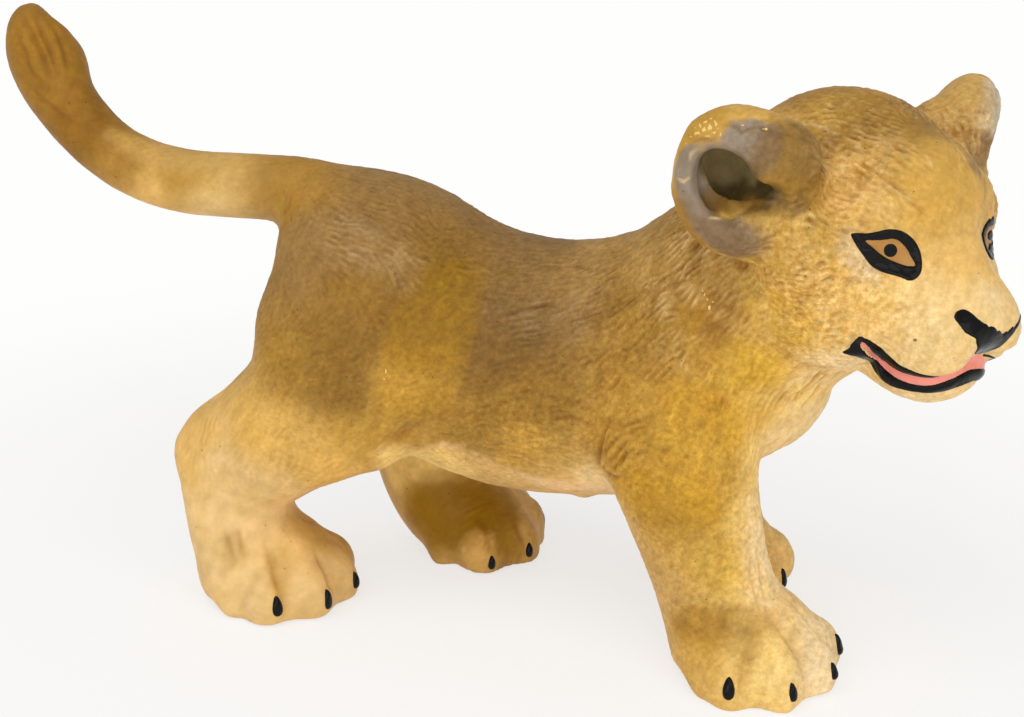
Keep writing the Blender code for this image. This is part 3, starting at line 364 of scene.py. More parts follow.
# Shifts of the skin's form on one side only: place, radius, and the way it moves.
FORM_SHIFTS = (
    # The far ear's front edge and its tip.
    ((57.1, 5.4, 41.6), 1.9, (-0.55, -0.18, 0.0)),
    ((56.8, 4.8, 39.5), 1.7, (-0.75, -0.24, 0.0)),
    ((55.4, 7.6, 45.4), 1.2, (0.0, 0.0, 0.05)),
    # The far eye, and the brow's edge beside it.
    ((56.97, -2.67, 36.1), 1.5, (0.42, -0.38, 0.0)),
    ((57.3, 1.4, 35.0), 1.3, (-0.44, 0.05, 0.0)),
    # The bridge of the nose.
    ((58.7, -7.4, 32.9), 1.6, (0.20, 0.0, 0.26)),
    ((59.6, -8.4, 31.8), 1.4, (0.12, 0.0, 0.14)),
    # The muzzle's lower edge at the front.
    ((57.3, -11.2, 28.5), 1.2, (0.0, 0.0, 0.45)),
    ((58.6, -9.6, 28.6), 1.2, (-0.15, 0.0, 0.20)),
    # The near ear's hollow: its back wall and its lower edge.
    ((37.75, -12.35, 42.0), 0.9, (0.25, -1.45, 0.0)),
    ((37.75, -12.35, 40.9), 0.9, (0.25, -1.35, 0.0)),
    ((38.0, -12.4, 39.9), 0.9, (0.15, -1.20, 0.1)),
    ((38.7, -12.2, 39.2), 0.9, (0.0, -1.05, 0.2)),
    ((39.7, -12.3, 39.1), 0.9, (0.0, -1.00, 0.4)),
    ((40.6, -12.8, 39.1), 0.9, (0.0, -0.95, 0.5)),
    ((41.7, -13.8, 39.2), 0.9, (0.0, -0.35, 0.5)),
    ((42.7, -14.2, 39.4), 0.8, (0.0, -0.1, 0.45)),
    # Its lower back edge.
    ((37.6, -14.5, 38.6), 1.8, (0.34, 0.0, 0.16)),
    # The near ear's back rim.
    ((37.6, -13.4, 44.3), 2.2, (-0.42, 0.08, 0.62)),
    ((40.2, -13.0, 45.5), 2.0, (-0.05, 0.05, 0.36)),
    # The near hock's back edge, heel and thigh.
    ((-1.5, -8.5, 21.5), 2.2, (0.45, 0.12, -0.1)),
    ((-8.2, -8.8, 10.0), 2.3, (0.90, 0.28, 0.0)),
    ((-7.6, -9.2, 7.0), 2.0, (0.52, 0.16, 0.0)),
    ((-6.7, -9.5, 4.0), 2.0, (0.45, 0.14, 0.0)),
    ((-5.2, -10.2, 1.4), 1.5, (0.25, 0.08, 0.0)),
    ((-1.6, -11.8, 0.8), 1.3, (0.10, -0.95, -0.70)),
    ((5.0, -8.3, 10.4), 1.7, (0.0, 0.05, 0.50)),
    ((7.1, -8.1, 11.2), 1.7, (0.0, 0.05, 0.48)),
    ((9.0, -7.8, 12.0), 1.7, (0.0, 0.05, 0.55)),
    # The near front paw's heel and toes.
    ((38.6, -12.5, 0.8), 1.4, (-0.10, -0.75, -0.50)),
    ((42.0, -14.2, 0.5), 1.6, (0.0, -0.28, -0.25)),
    ((46.0, -13.3, 0.5), 1.6, (0.05, -0.30, -0.25)),
    # The tail's tuft.
    ((-21.5, 1.2, 47.9), 1.5, (-0.50, -0.10, -0.75)),
    ((-20.4, 1.6, 46.4), 1.6, (-0.50, -0.16, -0.15)),
    ((-18.6, 1.7, 41.6), 2.0, (-0.42, -0.14, 0.0)),
    # The far hind foot.
    ((19.9, 10.8, 1.6), 2.0, (-0.62, -0.20, 0.0)),
    ((11.6, 4.3, 0.6), 1.5, (0.0, -1.25, -0.30)),
    # The chin.
    ((54.9, -9.4, 24.8), 2.4, (0.0, 0.0, -0.25)),
    # The navel.
    ((26.6, -2.2, 11.4), 0.9, (0.0, -0.1, -0.40)),
)

FLOOR_GLOW = 0.69
WORLD_LIGHT = 0.55

# How the paint's fine speckle, its soft clouds and the pits in it tint the colour: from dark
# to pale.
SPECKLE_TINTS = ((0.60, 0.42, 0.0), (1.27, 1.40, 1.80))
CLOUD_TINTS = ((0.94, 0.89, 0.74), (1.06, 1.04, 1.04))
PIT_TINTS = ((0.42, 0.30, 0.15), (1.0, 1.0, 1.0))

# Lines cut into the skin, as pixels of the photograph: width, depth, darkening, then the line. The
# darkening is painted shade in the cut; a negative one paints a raised line paler, a painted
# highlight.
CREASES = (
    (0.4, 0.35, 0.45, ((803, 132), (815, 141), (823, 152), (823, 165), (815, 178), (800, 192))),
    (0.2, -0.1, -0.35, ((709, 150), (718, 148), (728, 148.5), (737, 152), (745, 158), (752, 164.5),
     (758, 172), (763, 180), (769, 188))),
    (0.13, 0.08, 0.7, ((691, 143), (703, 139), (712, 140), (718, 138))),
    (0.13, 0.08, 0.7, ((723, 129), (730, 127), (738, 129), (742, 135), (748, 131), (757, 129),
     (763, 133), (770, 133), (777, 137))),
    (0.1, -0.04, -0.8, ((678, 179), (684, 181.5), (690, 177))),
    (0.12, -0.04, -0.5, ((690, 160), (691, 154), (697, 149))),
    (0.1, -0.04, -0.8, ((709, 218), (714, 218.5), (719, 220))),
    (0.34, 0.26, 0.95, ((733, 258), (738, 264), (743, 266.5), (748, 265))),
    (0.16, 0.12, 0.45, ((850, 165), (862, 174), (874, 183), (884, 190))),
    (0.16, 0.14, 0.5, ((858, 160), (870, 168), (884, 178), (895, 187), (908, 196), (918, 202))),
    (0.14, 0.12, 0.45, ((865, 150), (877, 160), (888, 168), (898, 177))),
    (0.14, -0.12, -0.5, ((873, 165), (881, 170), (889, 174))),
    (0.14, 0.12, 0.45, ((888, 152), (898, 160), (907, 166))),
    (0.14, 0.1, 0.45, ((893, 143), (903, 153), (910, 160))),
    (0.14, 0.12, 0.5, ((878, 172), (890, 182), (900, 190), (905, 196))),
    (0.14, 0.1, 0.45, ((848, 178), (860, 183), (872, 190), (880, 196))),
    (0.14, 0.1, 0.4, ((900, 195), (912, 203), (922, 212), (930, 218))),
    (0.14, -0.1, -0.4, ((883, 180), (894, 189), (905, 196), (914, 202))),
    (0.12, -0.06, -0.4, ((924, 152), (929, 161), (934, 170))),
    (0.14, 0.12, 0.4, ((820, 131), (832, 133), (845, 138))),
    (0.14, -0.1, -0.45, ((800, 123), (812, 125), (826, 129), (838, 135))),
    (0.16, 0.12, 0.45, ((676, 243), (686, 237), (697, 229))),
    (0.16, 0.12, 0.45, ((684, 251), (693, 244), (704, 237))),
    (0.15, -0.12, -0.45, ((678, 238), (688, 232), (698, 225))),
    (0.15, -0.12, -0.45, ((682, 246), (692, 239), (702, 232))),
    (0.15, -0.1, -0.4, ((694, 257), (700, 251), (708, 244))),
    (0.2, 0.1, 0.4, ((803, 408), (815, 392), (826, 376), (834, 366))),
    (0.18, 0.1, 0.4, ((795, 403), (808, 388), (819, 374), (828, 364))),
    (0.18, 0.08, 0.35, ((812, 411), (824, 394), (832, 382))),
    (0.16, 0.1, 0.4, ((780, 342), (790, 344), (800, 347))),
    (0.16, 0.1, 0.4, ((886, 322), (893, 314), (902, 309), (912, 306), (921, 306))),
    (0.14, -0.06, -0.5, ((889, 318), (895, 314), (900, 311))),
    (0.14, -0.05, -0.4, ((974, 344), (972, 350), (971, 355))),
    (0.16, 0.1, 0.35, ((838, 278), (852, 281), (866, 281), (880, 283))),
    (0.3, 0.2, 0.5, ((15, 27), (24, 52), (30, 72), (47, 90))),
    (0.3, 0.28, 0.6, ((22, 15), (32, 35), (42, 55), (50, 78))),
    (0.3, 0.26, 0.6, ((34, 13), (43, 35), (53, 55), (58, 74))),
    (0.3, 0.2, 0.5, ((48, 20), (60, 38), (66, 55), (68, 70))),
    (0.3, 0.15, 0.4, ((27, 82), (42, 100), (57, 112), (75, 125))),
    (0.5, 0.3, 0.5, ((383, 449), (397, 441), (411, 431), (427, 418))),
    (0.3, 0.15, 0.4, ((388, 440), (402, 431), (413, 423))),
    (0.22, 0.24, 0.8, ((615, 408), (607, 422), (600, 445), (597.5, 456), (599, 467), (608, 475),
     (617, 478), (623, 477))),
    (0.16, 0.2, 0.8, ((604, 464), (613, 457), (621, 448), (627, 441))),
    (0.16, 0.18, 0.7, ((602, 456), (608, 448), (616, 438), (622, 434))),
    (0.16, 0.16, 0.7, ((613, 469), (622, 459), (628, 449))),
    (0.16, 0.16, 0.7, ((617, 432), (627, 425), (637, 422), (643, 421))),
    (0.16, 0.14, 0.6, ((628, 433), (640, 428), (650, 427))),
    (0.18, 0.12, 0.6, ((556, 420), (568, 417), (580, 420), (592, 428))),
    (0.18, 0.12, 0.5, ((560, 405), (574, 402), (588, 403))),
    (0.35, 0.12, 0.35, ((600, 262), (598, 320), (600, 380), (603, 440))),
    (0.16, 0.1, 0.6, ((565, 267), (578, 266), (590, 270), (600, 268))),
    (0.14, 0.08, 0.6, ((500, 318), (520, 310), (545, 305), (568, 309))),
)

# The same for lines on the near paws and leg, which the far side doesn't have.
LEG_CREASES = (
    (0.42, 0.42, 0.45, ((752, 632), (749, 652), (745, 675), (740, 700))),
    (0.4, 0.38, 0.35, ((768, 612), (780, 628), (793, 645), (803, 665), (806, 690))),
    (0.36, 0.3, 0.3, ((792, 603), (810, 622), (826, 642), (836, 657))),
    (0.24, 0.22, 0.3, ((758, 545), (762, 575), (767, 605))),
    (0.2, 0.16, 0.3, ((750, 560), (754, 585), (760, 610))),
    (0.42, 0.36, 0.4, ((266, 545), (272, 560), (278, 582), (284, 600), (288, 615))),
    (0.4, 0.32, 0.35, ((316, 550), (323, 565), (330, 583), (334, 600))),
    (0.3, 0.22, 0.5, ((300, 517), (310, 521), (322, 526), (338, 537))),
    (0.26, 0.14, 0.5, ((226, 535), (230, 548), (234, 562))),
    (0.26, 0.14, 0.5, ((238, 530), (241, 545), (243, 556))),
    (0.4, 0.3, 0.4, ((484, 520), (489, 538), (492, 556))),
    (0.36, 0.3, 0.4, ((516, 520), (521, 535), (527, 548))),
)
PAW_GROOVE_HEIGHTS = (6.6, 5.4, 4.2, 3.0, 1.8, 0.7)
# The grooves' width, depth and darkening; the darkening is painted shade.
PAW_GROOVE = (0.42, 0.30, 0.25)
# The paws' grooves that the near side's own lines don't give, by number.
PAW_GROOVES = {"hind_right": (2,), "hind_left": (2,), "front_right": (), "front_left": (0, 1, 2)}

JAW_SETBACK = 0.75

# The mouth is measured by angle round the chin from its middle, and by height.
MOUTH_CENTRE = 5.3
MOUTH_RADII = (6.9, 4.9)
MOUTH_DEGREE = 0.105
PINK_TOP = (
    (-76.1, -12.2), (-74.3, -12.75), (-72.5, -13.55), (-68.2, -14.15), (-59.8, -14.35),
    (-52.6, -14.4), (-44.6, -14.5), (-35.4, -14.5), (-28, -14.35), (-22, -14.05), (-17, -13.75),
    (-12, -13.5), (-5, -13.45), (0, -13.45),
)
PINK_LOW = (
    (-77.3, -12.6), (-75.9, -13.3), (-74, -14.05), (-69.1, -14.7), (-60.8, -15.05),
    (-52.3, -15.25), (-43.1, -15.32), (-34.1, -15.2), (-25.1, -14.87), (-15.3, -14.6),
    (-6, -14.45), (0, -14.42),
)
PINK_LAP = 0.13
LIP_TOP = (
    (-30, -14.45), (-38.3, -14.14), (-46.1, -14), (-52.4, -13.8), (-58.9, -13.62), (-65.3, -13.2),
    (-71.3, -12.4), (-74.8, -11.8), (-76.8, -11.65), (-80.6, -12.35), (-82, -12.8), (-84.3, -13.1),
)
LIP_LOW = (
    (-83, -13.35), (-80.5, -13.6), (-80, -14.2), (-78.5, -15), (-74.5, -15.55), (-65.6, -15.95),
    (-54.4, -16), (-45, -16.02), (-36.7, -16), (-26.2, -15.9), (-15.7, -15.65), (-6, -15.5),
    (0, -15.5),
)

# The nose pad from the front: to the side and up, round its edge.
NOSE = (
    (-0.29, -10.64), (-0.67, -10.47), (-0.85, -10.5), (-1.01, -10.31), (-1.3, -10.15),
    (-1.55, -9.92), (-1.74, -9.68), (-1.9, -9.45), (-2.1, -9.3), (-2.33, -9.22), (-2.76, -9.32),
    (-3.02, -9.5), (-3.2, -9.75), (-3.17, -10.04), (-3.07, -10.35), (-2.91, -10.68),
    (-2.57, -10.92), (-2.16, -11.19), (-2.03, -11.51), (-1.75, -12), (-1.5, -12.55),
    (-0.58, -12.9), (0.09, -13.03), (0.54, -13.05), (0.81, -12.93), (1.33, -12.66), (1.78, -12.01),
    (2.47, -11.4), (3.3, -11.05), (3.5, -10.7), (3.35, -10.5), (2.9, -10.75), (2.32, -10.93),
    (2.05, -11.12), (1.85, -11), (1.47, -11.16), (1.3, -11.3), (1.11, -11.2), (0.77, -11.34),
    (0.45, -11.1), (0.17, -10.92), (0, -10.95),
)

# The near eye's paint, as pixels of the photograph.
EYE_OUTER = (
    (850.5, 234.5), (856, 232.6), (866, 233), (876, 231.6), (884, 229.6), (893, 228.8),
    (903, 231.2), (911, 236.5), (917, 243.5), (921.3, 254), (922.4, 266), (920.5, 274),
    (915.5, 279.3), (909, 281), (901, 277.8), (893, 275.4), (886, 273.6), (879, 271), (871, 266),
    (863.5, 256.5), (855.5, 244.8),
)
EYE_INNER = (
    (866, 241), (875, 240.7), (884, 240.2), (892, 239.2), (898, 240.6), (903, 245), (907, 250),
    (910, 256), (913.4, 261.5), (914.2, 265.4), (909, 265.8), (903, 264.6), (895, 261.6),
    (887.5, 258.2), (881, 254), (873.5, 247.6),
)
FAR_EYE_SIZE = (1.0, 0.92, 0.8)
FAR_EYE_SHIFT = (0.0, -1.05, -0.6)
LIP_STROKE = ((984, 353.8), (990, 355), (996, 357.6), (1001, 361), (995, 360.2), (989, 357.8),
              (983, 356.4))
PUPIL = (890.4, 250.3, 7.4)
MOLE = (915, 340, 2.6)

CLAW_PIXELS = (
    (277.6, 606.5), (328.3, 599.3), (355.8, 580.1), (728.7, 688.8), (793.2, 692.5), (833.9, 670.8),
    (838.5, 644.2), (492, 562.8), (529.4, 550), (789.4, 576.8),
)
CLAW_REACH = 1.7
CLAW_SIZE = (0.47, 0.92)
CLAW_RISE = 0.26
# Claws that the photograph shows in another place or size.
CLAW_SHIFTS = {
    "claw_hind_right_4": (-0.7, 0.9, 0.0),
    "claw_hind_left_3": (-0.4, 1.1, 0.0),
    "claw_front_left_2": (0.8, 0.3, 0.0),
    "claw_front_left_3": (-0.2, 1.2, 0.0),
}
CLAW_SCALES = {
    "claw_hind_left_1": 0.75,
    "claw_hind_left_2": 0.75,
    "claw_front_right_2": 0.85,
    "claw_front_right_3": 0.8,
    "claw_hind_right_3": 0.85,
}

# Flakes where the top coat has come off, as pixels of the photograph: their middle and size.
CHIPS = (
    (697, 133, 4.2, 2.2), (703.5, 129.5, 2.4, 3.8), (710, 127, 3.6, 4.2), (715.5, 123.5, 2, 3.8),
    (705.5, 122, 3, 2), (711, 118.5, 3, 1.4), (700, 125.5, 2, 2.2), (707, 136, 3.8, 1.3),
    (714, 133, 2, 2.4), (720.5, 134, 1.3, 3), (690.5, 136.5, 1.8, 1.5), (686, 143, 1.3, 2.2),
    (682, 150, 1, 1.6), (766, 129, 3.8, 1.5), (757, 125.5, 1.6, 0.8), (743, 125, 3.2, 1.1),
    (718, 128, 1.4, 2.2), (695, 128, 1.6, 1.3), (702.5, 290, 1, 2.6), (704.5, 295, 1.1, 2.6),
    (707, 300.5, 1.2, 2.8), (709.5, 306.5, 1.8, 3.4), (713, 302, 2.6, 1.2), (717.5, 313, 0.9, 2.8),
    (386, 372, 1.6, 3.4), (384, 379, 2.4, 1.2), (389, 377, 1, 1.6), (380, 384, 1.4, 1),
    (791, 332.5, 3.4, 1), (797, 334.5, 3, 1.1), (803, 334.5, 2.4, 0.9), (811, 325, 3.2, 0.9),
    (818, 323, 3.2, 0.9), (825, 321.5, 3, 0.9), (817, 289, 1.6, 1.6),
)

# Small numbers that keep a division or a comparison safe, and one larger than any distance.
TINY = 1e-9
SMALL = 1e-6
FAR = 1e9

# How near and far the camera sees.
CAMERA_CLIP = (1 * MM, 5000 * MM)

# Points of the mouldings closer than this are one.
SAME_POINT = 0.001

# Blending between places weakens with this power of the squared distance.
NEARNESS = 2

# Smooth unevenness: the number of waves, their length against a lump's size, and what divides
# their sum.
WAVES = 12
WAVE_LENGTH = 1.6
WAVE_SUM = 3.5

# The fur's strokes: how softly its kinds blend, the seed, and the ranges and spreads that groups
# and strokes are drawn from.
FUR_SOFTNESS = 1.5
STROKE_SEED = 7
CHANCE_POWER = 0.6
STROKES_IN_GROUP = (1, 6)
STROKE_VARIETY = (0.75, 1.35)
STROKE_BEND = 0.16
GROUP_TURN = 0.16
STROKE_TURN = 0.09
GROUP_STRENGTHS = (0.6, 1.25)
STROKE_STRENGTHS = (0.6, 1.15)
STROKE_HALVES = (0.3, 0.6)
STROKE_SLIP = 0.3

# How far a stroke's middle may be from the skin's nearest point, and its least depth.
STROKE_GAP = 0.5
LEAST_DEPTH = 0.05

# The ridges beside a stroke: their share of its depth, their place in widths, their sharpness.
RIDGE_SHARE = 0.6
RIDGE_PLACE = 1.7
RIDGE_SHARPNESS = 1.2

# Patches of stronger and weaker fur: the middle strength, its swing and the least, then for the
# cuts and the ridges the patches' size, their seed and the most.
PATCH_LEVEL = 0.9
PATCH_SWING = 0.4
PATCH_LEAST = 0.3
CUT_PATCHES = (1.6, 33, 1.25)
RIDGE_PATCHES = (1.1, 34, 1.3)

# The grain: how softly its places blend, its first seed, and the roughness that counts as full.
GRAIN_SOFTNESS = 3.0
GRAIN_SEED = 31
GRAIN_SCALE = 2

# A moved point stays above this height, or above its own start where that is lower. Then a
# grid's rows against its step, an area's grid in pixels, and how far its points reach.
LEAST_HEIGHT = 0.02
ROW_GAP = 0.87
AREA_STEP = 2.5
AREA_REACH = 0.15

# Where the jaw is drawn back and the mouth is carved, by the head's axes and the chin's angle.
JAW_SIDES = ((1.2, 3.0), (3.0, 4.5))
JAW_HEIGHTS = ((-12.8, -0.4), (-13.5, -0.8))
JAW_FRONT = (6.5, 11.5)
MOUTH_BACK = 3.5
MOUTH_HEIGHTS = (-18, -10.5)
MOUTH_END = (86, 12)
EVERYWHERE = (-360, 1)

# The lips' relief: place above the mouth's line, width, height, and the angle it starts at with
# the degrees it takes.
LIP_FORMS = (
    (-0.85, 0.42, 0.20, EVERYWHERE),
    (0.95, 0.5, 0.26, (8, 20)),
    (0.0, 0.38, -0.16, EVERYWHERE),
)

# Creases, paw grooves and the ear's hollow.
CREASE_REACH = 3
CREASE_END = 0.02
PAW_OUTSIDE = 9
EAR_CAVITY_DEPTH = 0.9
EAR_CAVITY_EDGE = 0.45

# The painted films: steps from one point of an outline to the next, the gap inside it in grid
# steps, the underside's depth, rounds of smoothing, and how close the halves' points are joined.
CURVE_STEPS = 12
LOOP_GAP = 0.6
FILM_DEPTH = 0.12
NORMAL_ROUNDS = 3
SEAM_GAP = 0.0001

# How far out the looks at the mouth and at the face start.
MOUTH_OUTSIDE = 14
FACE_OUTSIDE = 24.0

# How the colours wander: the size of the waves, how far they reach, and their seeds.
ZONE_DRIFT = (3.0, 0.5, (1, 2, 3))
AREA_DRIFT = (0.7, 0.12, (4, 5, 6))

# Painted highlights on the ridges, the painted shade in the grooves, and unevenness as size, gain
# and seed.
RIDGE_PALENESS = 2.2
CUT_SHADE = 0.8
MOST_SHADE = 0.9
RIDGE_GAIN = 0.25
BUMP_GAIN = 0.10
MOTTLES = ((0.9, 0.04, 11), (2.6, 0.05, 12))

# The hide's paint: noises as size, detail and roughness, and pits as spacing, radius and the
# share left out.
SPECKLE_NOISE = (0.40, 4, 0.68)
CLOUD_NOISE = (1.9, 3, 0.6)
HIDE_NOISE = (0.30, 4, 0.6)
PITS = (0.95, 0.085, 0.75)
HIDE_ROUGHNESS = (0.40, 0.62)
HIDE_BUMP = 0.03
HIDE_SPECULAR = 0.20

# Brushed gloss paint: its noise, how that shades it, and its bump's strength and depth.
BRUSH_NOISE = (0.6, 2)
BRUSH_SHADES = (0.85, 1.15)
BRUSH_BUMP = (0.3, 0.06)

# The floor and its glow, and the lamps: name, place, size and power.
FLOOR_RADIUS = 1500
FLOOR_COLOUR = (0.985, 0.968, 0.942, 1)
GLOW_COLOUR = (0.99, 0.99, 0.985, 1)
GLOW_REACH = (35, 110)
BACKDROP_COLOUR = (0.98, 0.98, 0.98, 1)
LAMP_TARGET = (0, 0, 20)
LAMPS = (
    ("key", (-100, -180, 330), 260, 0.34),
    ("fill", (230, -190, 150), 220, 0.20),
    ("low", (20, -210, 22), 150, 0.10),
    ("spark", (60, -230, 300), 14, 0.045),
)

# The iris's size against its opening, the angle where the raising of the pink's top edge ends,
# the pink's corner, and the point of PINK_TOP where the lip line joins it.
IRIS_LAP = 1.12
LAP_END = -33
PINK_CORNER = ((-79.5, -12.25), (-79.0, -12.9))
LIP_JOIN = 7

# Claws: how far out and how deep the skin is looked for, and how pointed they are.
CLAW_OUTSIDE = 1.5
CLAW_LOOK = 4.0
CLAW_POINT = 0.28

# Flakes: the seed, range and corners of their outlines, and the pixel columns that part them into
# hind, fore and head.
CHIP_SEED = 21
CHIP_REACHES = (0.5, 1.3)
CHIP_CORNERS = 14
HIND_PIXELS = 500
FORE_PIXELS = 640


def linked(name, data):
    """A new object of this data, in the scene."""
    made = bpy.data.objects.new(name, data)
    bpy.context.scene.collection.objects.link(made)
    return made


# Camera

def camera_axes():
    """The camera's place and its right, up and backward directions, in body coordinates."""
    back = np.array(
        (
            math.sin(CAMERA_AZIMUTH) * math.cos(CAMERA_ELEVATION),
            -math.cos(CAMERA_AZIMUTH) * math.cos(CAMERA_ELEVATION),
            math.sin(CAMERA_ELEVATION),
        )
    )
    right = np.cross((0.0, 0.0, 1.0), back)
    right /= np.linalg.norm(right)
    return CAMERA_TARGET + back * CAMERA_DISTANCE, right, np.cross(back, right), back


def add_camera():
    place, right, up, back = camera_axes()
    data = bpy.data.cameras.new("camera")
    data.sensor_width = SENSOR
    data.lens = FOCAL_PIXELS / PHOTO_SIZE[0] * SENSOR
    data.clip_start, data.clip_end = CAMERA_CLIP
    camera = linked("camera", data)
    turn = np.column_stack((right, up, back))
    camera.matrix_world = Matrix.Translation((place + ORIGIN) * MM) @ Matrix(turn).to_4x4()
    bpy.context.scene.camera = camera


# Mesh arrays

def unit(vectors):
    return vectors / np.maximum(np.linalg.norm(vectors, axis=1, keepdims=True), TINY)


def kd_tree(points):
    made = KDTree(len(points))
    for index, point in enumerate(points.tolist()):
        made.insert(point, index)
    made.balance()
    return made


class Skin:
    """Points in body millimetres, square faces, and what is worked out from them."""

    def __init__(self, mesh):
        self.points = np.empty(len(mesh.vertices) * 3, np.float32)
        mesh.vertices.foreach_get("co", self.points)
        self.points = self.points.reshape(-1, 3).astype(float) / MM - ORIGIN
        self.faces = np.empty(len(mesh.loops), np.int32)
        mesh.loops.foreach_get("vertex_index", self.faces)
        self.faces = self.faces.reshape(-1, 4)
        self.edges = np.empty(len(mesh.edges) * 2, np.int32)
        mesh.edges.foreach_get("vertices", self.edges)
        self.edges = self.edges.reshape(-1, 2)
        self.find_normals()

    def find_normals(self):
        corner = self.points[self.faces]
        face = np.cross(corner[:, 2] - corner[:, 0], corner[:, 3] - corner[:, 1])
        total = np.zeros_like(self.points)
        for axis in range(3):
            for side in range(4):
                total[:, axis] += np.bincount(self.faces[:, side], face[:, axis], len(total))
        self.normals = unit(total)

    def raise_by(self, heights):
        """Moves each point out along its normal."""
        self.points += self.normals * heights[:, None]

    def smoothed(self, values, rounds):
        first, second = self.edges.T
        count = np.bincount(self.edges.ravel(), minlength=len(values))
        for _ in range(rounds):
            for axis in range(values.shape[1]):
                column = values[:, axis]
                around = np.bincount(first, column[second], len(column))
                around += np.bincount(second, column[first], len(column))
                values[:, axis] = column / 2 + around / count / 2
        return values

    def tree(self):
        return BVHTree.FromPolygons(self.points.tolist(), self.faces.tolist())


def evaluated(obj):
    graph = bpy.context.evaluated_depsgraph_get()
    return bpy.data.meshes.new_from_object(obj.evaluated_get(graph), depsgraph=graph)


def keep_largest_island(mesh):
    bm = bmesh.new()
    bm.from_mesh(mesh)
    left = set(bm.verts)
    islands = []
    while left:
        island = {left.pop()}
        edge = list(island)
        while edge:
            for link in edge.pop().link_edges:
                for vert in link.verts:
                    if vert in left:
                        left.discard(vert)
                        island.add(vert)
                        edge.append(vert)
        islands.append(island)
    islands.sort(key=len)
    loose = [vert for island in islands[:-1] for vert in island]
    bmesh.ops.delete(bm, geom=loose, context="VERTS")
    bm.to_mesh(mesh)
    bm.free()


def add_displacement(work, name, strength):
    made = work.modifiers.new(name, "DISPLACE")
    made.strength = strength * MM
    made.mid_level = 0.0


def joined_skin():
    """One even mesh over the whole figure, with the seams and pockets closed."""
    bm = bmesh.new()
    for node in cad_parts.values():
        bm.from_mesh(node.data)
    bmesh.ops.remove_doubles(bm, verts=bm.verts, dist=SAME_POINT * MM)
    mesh = bpy.data.meshes.new("joined")
    bm.to_mesh(mesh)
    bm.free()
    work = linked("scratch", mesh)
    add_displacement(work, "swell", CLOSING)
    grid = work.modifiers.new("grid", "REMESH")
    grid.mode = "VOXEL"
    grid.voxel_size = SKIN_GRID * MM
    add_displacement(work, "shrink", -CLOSING)
    coarse = evaluated(work)
    keep_largest_island(coarse)
    skin = Skin(coarse)
    skin.smoothed(skin.points, SKIN_SMOOTHING)
    places = ((skin.points + ORIGIN) * MM).astype(np.float32)
    coarse.vertices.foreach_set("co", places.ravel())
    work.modifiers.clear()
    work.data = coarse
    finer = work.modifiers.new("finer", "SUBSURF")
    finer.levels = 1
    finer.render_levels = 1
    fine = evaluated(work)
    bpy.data.objects.remove(work)
    return Skin(fine)


# Places

def head_to_body(places):
    return np.asarray(places, float) @ HEAD_AXES + HEAD_PLACE


def body_to_head(places):
    return (np.asarray(places, float) - HEAD_PLACE) @ HEAD_AXES.T


def on_head(places):
    return (places - NECK_SEAM) @ NECK_DIRECTION > 0


def near_side(places):
    """Each place's twin on the near side, and the flags of what was mirrored."""
    head = on_head(places)
    local = body_to_head(places)
    flip_head = head & (local[:, 1] > 0)
    local[:, 1] = -np.abs(local[:, 1])
    twin = places.copy()
    twin[head] = head_to_body(local[head])
    flip_body = ~head & (places[:, 1] > 0)
    twin[~head, 1] = -np.abs(places[~head, 1])
    return twin, flip_head, flip_body


def blended(places, centres, values, softness):
    """Each place's mix of the values at the centres, by nearness."""
    values = np.array(values, float)
    total = np.zeros((len(places), values.shape[1]))
    weight_sum = np.zeros(len(places))
    for centre, value in zip(np.array(centres), values):
        distance = ((places - centre) ** 2).sum(1) + softness**2
        weight = distance**-NEARNESS
        total += weight[:, None] * value
        weight_sum += weight
    return total / weight_sum[:, None]


def waves(places, size, seed):
    """Smooth noise from about -1 to 1 with lumps of about this size."""
    random = np.random.default_rng(seed)
    total = np.zeros(len(places))
    for _ in range(WAVES):
        direction = random.normal(size=3)
        direction *= 2 * math.pi / (size * WAVE_LENGTH) / np.linalg.norm(direction)
        total += np.sin(places @ direction + random.uniform(0, 2 * math.pi))
    return total / WAVE_SUM


def drift(places, size, reach, seeds):
    """Small moves that wander with the place, so that painted edges aren't straight."""
    return np.column_stack([waves(places, size, seed) for seed in seeds]) * reach


def smooth(share):
    """Eases a share at 0 and at 1, where it stops."""
    share = np.clip(share, 0, 1)
    return share * share * (3 - 2 * share)


def eased(values, start, end):
    return smooth((values - start) / (end - start))


# Sculpting

def coat(skin, twin, flip_head, flip_body):
    """The way the fur lies on each point, its depth and its strokes' length."""
    facts = [(*lie, depth, length) for _, lie, depth, length in FUR]
    blend = blended(twin, [row[0] for row in FUR], facts, FUR_SOFTNESS)
    lie = blend[:, :3].copy()
    lie[flip_body, 1] *= -1
    left = HEAD_AXES[1]
    lie[flip_head] -= 2 * np.outer(lie[flip_head] @ left, left)
    lie -= (lie * skin.normals).sum(1, keepdims=True) * skin.normals
    return unit(lie), blend[:, 3], blend[:, 4]


def patchy(points, size, seed, most):
    """How strong the carving is, in patches."""
    return np.clip(PATCH_LEVEL + PATCH_SWING * waves(points, size, seed), PATCH_LEAST, most)


